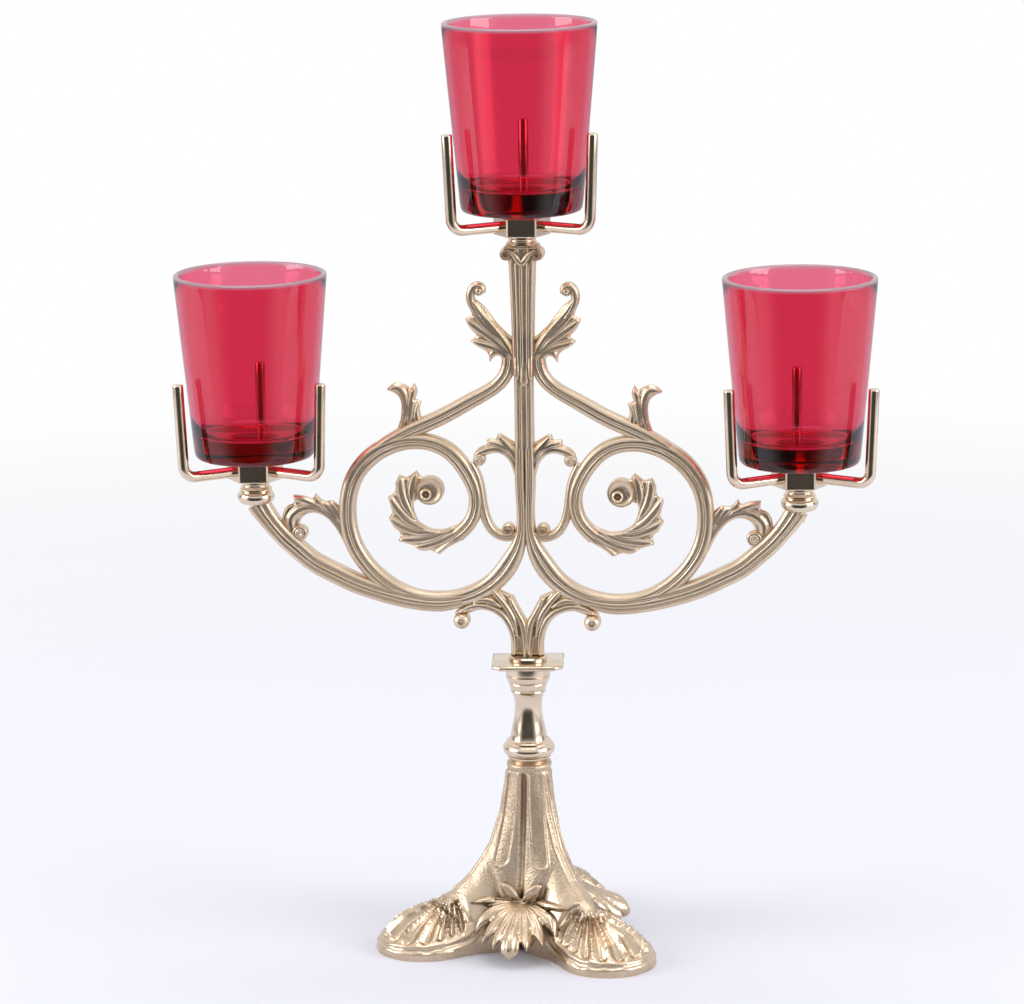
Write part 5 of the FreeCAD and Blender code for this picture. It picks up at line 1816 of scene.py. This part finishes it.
@dataclass
class Studio:
    """Pale floor, soft lights and the camera at the photograph's angle.

    Sizes and distances are in metres. The room is a picture of brightness by direction: dark where
    the viewer stands, bright behind and above, and dim again at both flanks beside the soft boxes.

    Args:
        anchor: a point of the stem.
        anchor_px: the pixel of the photograph that the anchor falls on.
        mirrored_floor: how far in front of the axis the brass still mirrors the floor.
        fade_from: distance at which the floor starts to fade to white.
        fade_to: distance at which it is white.
        dark_front: Y of the directions between which the dark front ends.
        ceiling: Z of the directions between which the bright ceiling starts.
        flank: size of X of the directions between which the flanks get dim.
        through_level: what the glass shows of the dark front.
    """

    azimuth: float = 6.8
    elevation: float = 12.5
    roll: float = -0.82
    distance: float = 1.561
    focal_px: float = 4000.0
    width_px: int = 1024
    height_px: int = 1004
    anchor: tuple[float, float, float] = (0.0, 0.0, 0.1895)
    anchor_px: tuple[float, float] = (525.3, 475.0)
    floor_colour: str = "DFE0E9"
    mirrored_floor: float = 0.3
    floor_half: float = 3.0
    fibres_per_m: float = 900.0
    fade_from: float = 0.15
    fade_to: float = 1.1
    lamp_target: tuple[float, float, float] = (0.0, 0.0, 0.18)
    dark_front: tuple[float, float] = (-0.86, -0.50)
    ceiling: tuple[float, float] = (0.10, 0.50)
    flank: tuple[float, float] = (0.84, 0.94)
    dark_level: float = 0.06
    bright_level: float = 0.92
    flank_level: float = 0.35
    through_level: float = 0.30
    room_strength: float = 0.62

    # Name, place, size and power in watts.
    LAMPS = (
        ("soft_box_left", (-1.35, -0.45, 0.65), 0.9, 11.5),
        ("soft_box_right", (1.35, -0.35, 0.65), 0.9, 12.0),
        ("soft_box_top", (0.0, 0.15, 1.7), 1.2, 12.0),
    )

    def build(self) -> None:
        """Make camera, floor, lamps and world."""
        self.camera()
        self.floor()
        self.lamps()
        self.world()

    def camera(self) -> None:
        """Aim a long lens so that the anchor falls on its pixel."""
        turn, tilt, roll = (math.radians(value) for value in (self.azimuth, self.elevation, self.roll))
        back = Vector((math.sin(turn) * math.cos(tilt), -math.cos(turn) * math.cos(tilt), math.sin(tilt)))
        anchor = Vector(self.anchor)
        level = Vector((math.cos(turn), math.sin(turn), 0.0))
        upright = back.cross(level)
        right = level * math.cos(roll) + upright * math.sin(roll)
        up = upright * math.cos(roll) - level * math.sin(roll)
        per_px = self.distance / self.focal_px
        aim = anchor - right * (self.anchor_px[0] - self.width_px / 2) * per_px
        aim += up * (self.anchor_px[1] - self.height_px / 2) * per_px
        data = bpy.data.cameras.new("camera")
        data.sensor_width = 36.0
        data.lens = data.sensor_width * self.focal_px / self.width_px
        item = add_object("camera", data)
        item.location = anchor + back * self.distance
        item.rotation_mode = "QUATERNION"
        ahead = (aim - item.location).to_track_quat("-Z", "Y")
        item.rotation_quaternion = ahead @ Quaternion((0, 0, 1), roll)
        bpy.context.scene.camera = item

    def floor(self) -> None:
        """Make the matt floor, which fades to white and isn't mirrored on the viewer's side."""
        half = self.floor_half
        mesh = bpy.data.meshes.new("floor")
        mesh.from_pydata([(-half, -half, 0.0), (half, -half, 0.0), (half, half, 0.0), (-half, half, 0.0)],
                         [], [(0, 1, 2, 3)])
        material, tree = new_material("matt_white_paper")
        place = add_node(tree, "ShaderNodeTexCoord").outputs["Object"]
        fibre = add_node(tree, "ShaderNodeTexNoise", {"Scale": self.fibres_per_m, "Detail": 2.0},
                         {"Vector": place})
        bump = add_node(tree, "ShaderNodeBump", {"Strength": 0.05, "Distance": 0.0002},
                        {"Height": fibre.outputs["Fac"]})
        paper = add_node(tree, "ShaderNodeBsdfPrincipled",
                         {"Base Color": linear(self.floor_colour), "Roughness": 0.9},
                         {"Normal": bump.outputs["Normal"]})
        glow = add_node(tree, "ShaderNodeEmission", {"Color": linear("FFFFFF"), "Strength": 1.0})
        split = add_node(tree, "ShaderNodeSeparateXYZ", None, {"Vector": place})
        away = add_node(tree, "ShaderNodeVectorMath", {"operation": "LENGTH"}, {0: place})
        far = add_node(tree, "ShaderNodeMapRange", {"From Min": self.fade_from, "From Max": self.fade_to},
                       {"Value": away.outputs["Value"]})
        ahead = add_node(tree, "ShaderNodeMath", {"operation": "LESS_THAN", 1: -self.mirrored_floor},
                         {0: split.outputs["Y"]})
        rays = add_node(tree, "ShaderNodeLightPath")
        seen = add_node(tree, "ShaderNodeMath", {"operation": "MAXIMUM"},
                        {0: rays.outputs["Is Camera Ray"], 1: rays.outputs["Is Transmission Ray"]})
        share = add_node(tree, "ShaderNodeMath", {"operation": "MULTIPLY"},
                         {0: far.outputs["Result"], 1: seen.outputs[0]})
        mixed = add_node(tree, "ShaderNodeMixShader", None,
                         {0: share.outputs[0], 1: paper.outputs[0], 2: glow.outputs[0]})
        unseen = add_node(tree, "ShaderNodeMath", {"operation": "MULTIPLY"},
                          {0: ahead.outputs[0], 1: rays.outputs["Is Glossy Ray"]})
        clear = add_node(tree, "ShaderNodeBsdfTransparent")
        cut = add_node(tree, "ShaderNodeMixShader", None,
                       {0: unseen.outputs[0], 1: mixed.outputs[0], 2: clear.outputs[0]})
        add_node(tree, "ShaderNodeOutputMaterial", None, {"Surface": cut.outputs[0]})
        mesh.materials.append(material)
        item = add_object("floor", mesh)

    def lamps(self) -> None:
        """Hang a large soft box on each side and one overhead."""
        for name, place, size, power in self.LAMPS:
            data = bpy.data.lights.new(name, "AREA")
            data.size = size
            data.energy = power
            item = add_object(name, data)
            item.location = place
            item.rotation_mode = "QUATERNION"
            item.rotation_quaternion = (Vector(self.lamp_target) - Vector(place)).to_track_quat("-Z", "Y")

    def world(self) -> None:
        """Make a pale room that is dark where the viewer stands and dim beside the soft boxes."""
        world = bpy.data.worlds.new("studio")
        bpy.context.scene.world = world
        world.use_nodes = True
        tree = world.node_tree
        tree.nodes.clear()
        way = add_node(tree, "ShaderNodeTexCoord").outputs["Generated"]
        split = add_node(tree, "ShaderNodeSeparateXYZ", None, {"Vector": way})
        across = add_node(tree, "ShaderNodeMath", {"operation": "ABSOLUTE"}, {0: split.outputs["X"]})
        aside, above, flank = (
            add_node(tree, "ShaderNodeMapRange",
                     {"From Min": low, "From Max": high, "To Min": at_low, "To Max": at_high,
                      "interpolation_type": "SMOOTHSTEP"},
                     {"Value": part})
            for part, (low, high), at_low, at_high in (
                (split.outputs["Y"], self.dark_front, self.dark_level, self.bright_level),
                (split.outputs["Z"], self.ceiling, 0.0, self.bright_level),
                (across.outputs[0], self.flank, 1.0, self.flank_level),
            )
        )
        rays = add_node(tree, "ShaderNodeLightPath")
        dimmed = add_node(tree, "ShaderNodeMath", {"operation": "MAXIMUM"},
                          {0: flank.outputs["Result"], 1: rays.outputs["Is Transmission Ray"]})
        through = add_node(tree, "ShaderNodeMath", {"operation": "MULTIPLY", 1: self.through_level},
                           {0: rays.outputs["Is Transmission Ray"]})
        lifted = add_node(tree, "ShaderNodeMath", {"operation": "MAXIMUM"},
                          {0: aside.outputs["Result"], 1: through.outputs[0]})
        level = add_node(tree, "ShaderNodeMath", {"operation": "MULTIPLY"},
                         {0: lifted.outputs[0], 1: dimmed.outputs[0]})
        front = add_node(tree, "ShaderNodeMath", {"operation": "MAXIMUM"},
                         {0: level.outputs[0], 1: above.outputs["Result"]})
        glass = add_node(tree, "ShaderNodeMath", {"operation": "MAXIMUM"},
                         {0: rays.outputs["Is Glossy Ray"], 1: rays.outputs["Is Transmission Ray"]})
        room = add_node(tree, "ShaderNodeBackground",
                        {"Color": linear("F4F4F8"), "Strength": self.room_strength})
        mirrored = add_node(tree, "ShaderNodeBackground", {"Color": linear("FFFFFF")},
                            {"Strength": front.outputs[0]})
        white = add_node(tree, "ShaderNodeBackground", {"Color": linear("FFFFFF"), "Strength": 1.0})
        inner = add_node(tree, "ShaderNodeMixShader", None,
                         {0: glass.outputs[0], 1: room.outputs[0], 2: mirrored.outputs[0]})
        outer = add_node(tree, "ShaderNodeMixShader", None,
                         {0: rays.outputs["Is Camera Ray"], 1: inner.outputs[0], 2: white.outputs[0]})
        add_node(tree, "ShaderNodeOutputWorld", None, {"Surface": outer.outputs[0]})


def dress_carried_nodes(frame: dict, brass: bpy.types.Material, steel: bpy.types.Material) -> None:
    """Give the CAD nodes that stay their finishes.

    Args:
        brass: for the holder screws.
        steel: for the tie rod, its washer and its nut.
    """
    for name, item in frame["nodes"].items():
        finish = steel if name.startswith("tie_") else brass
        for slot in item.material_slots:
            slot.material = finish


def main(frame: dict) -> None:
    """Build the candelabra and its studio in order.
    """
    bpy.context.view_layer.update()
    bpy.context.scene.view_settings.view_transform = "Standard"
    cast = CastBrass("sand_cast_brass_buffed").material()
    # The foot's hollows get a darker and deeper painted shade.
    foot_brass = CastBrass(
        "sand_cast_brass_satin", colour="D3BFA7", tarnish="B8A389", hollow="6F5B46", roughness=0.27,
        grain_mm=1.1, grain_depth_mm=0.12, patch_mm=6.0, hollow_reach_mm=3.8, hollow_share=0.9,
        stipple_mm=1.05,
    ).material()
    turned_brass = TurnedBrass("lathe_turned_brass").material()
    ruby = RubyGlass("ruby_pressed_glass").material()
    steel = ZincSteel("zinc_plated_steel").material()
    dress_carried_nodes(frame, turned_brass, steel)
    Studio().build()
    Foot(foot_brass).build()
    Baluster(turned_brass).build()
    Scrollwork(cast).build()
    Column(cast).build()
    for light in LIGHTS:
        Light(*light, turned_brass, ruby).build()


if __name__ == "__main__":
    logging.basicConfig(level=logging.INFO, format="%(name)s %(message)s")
    main(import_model())
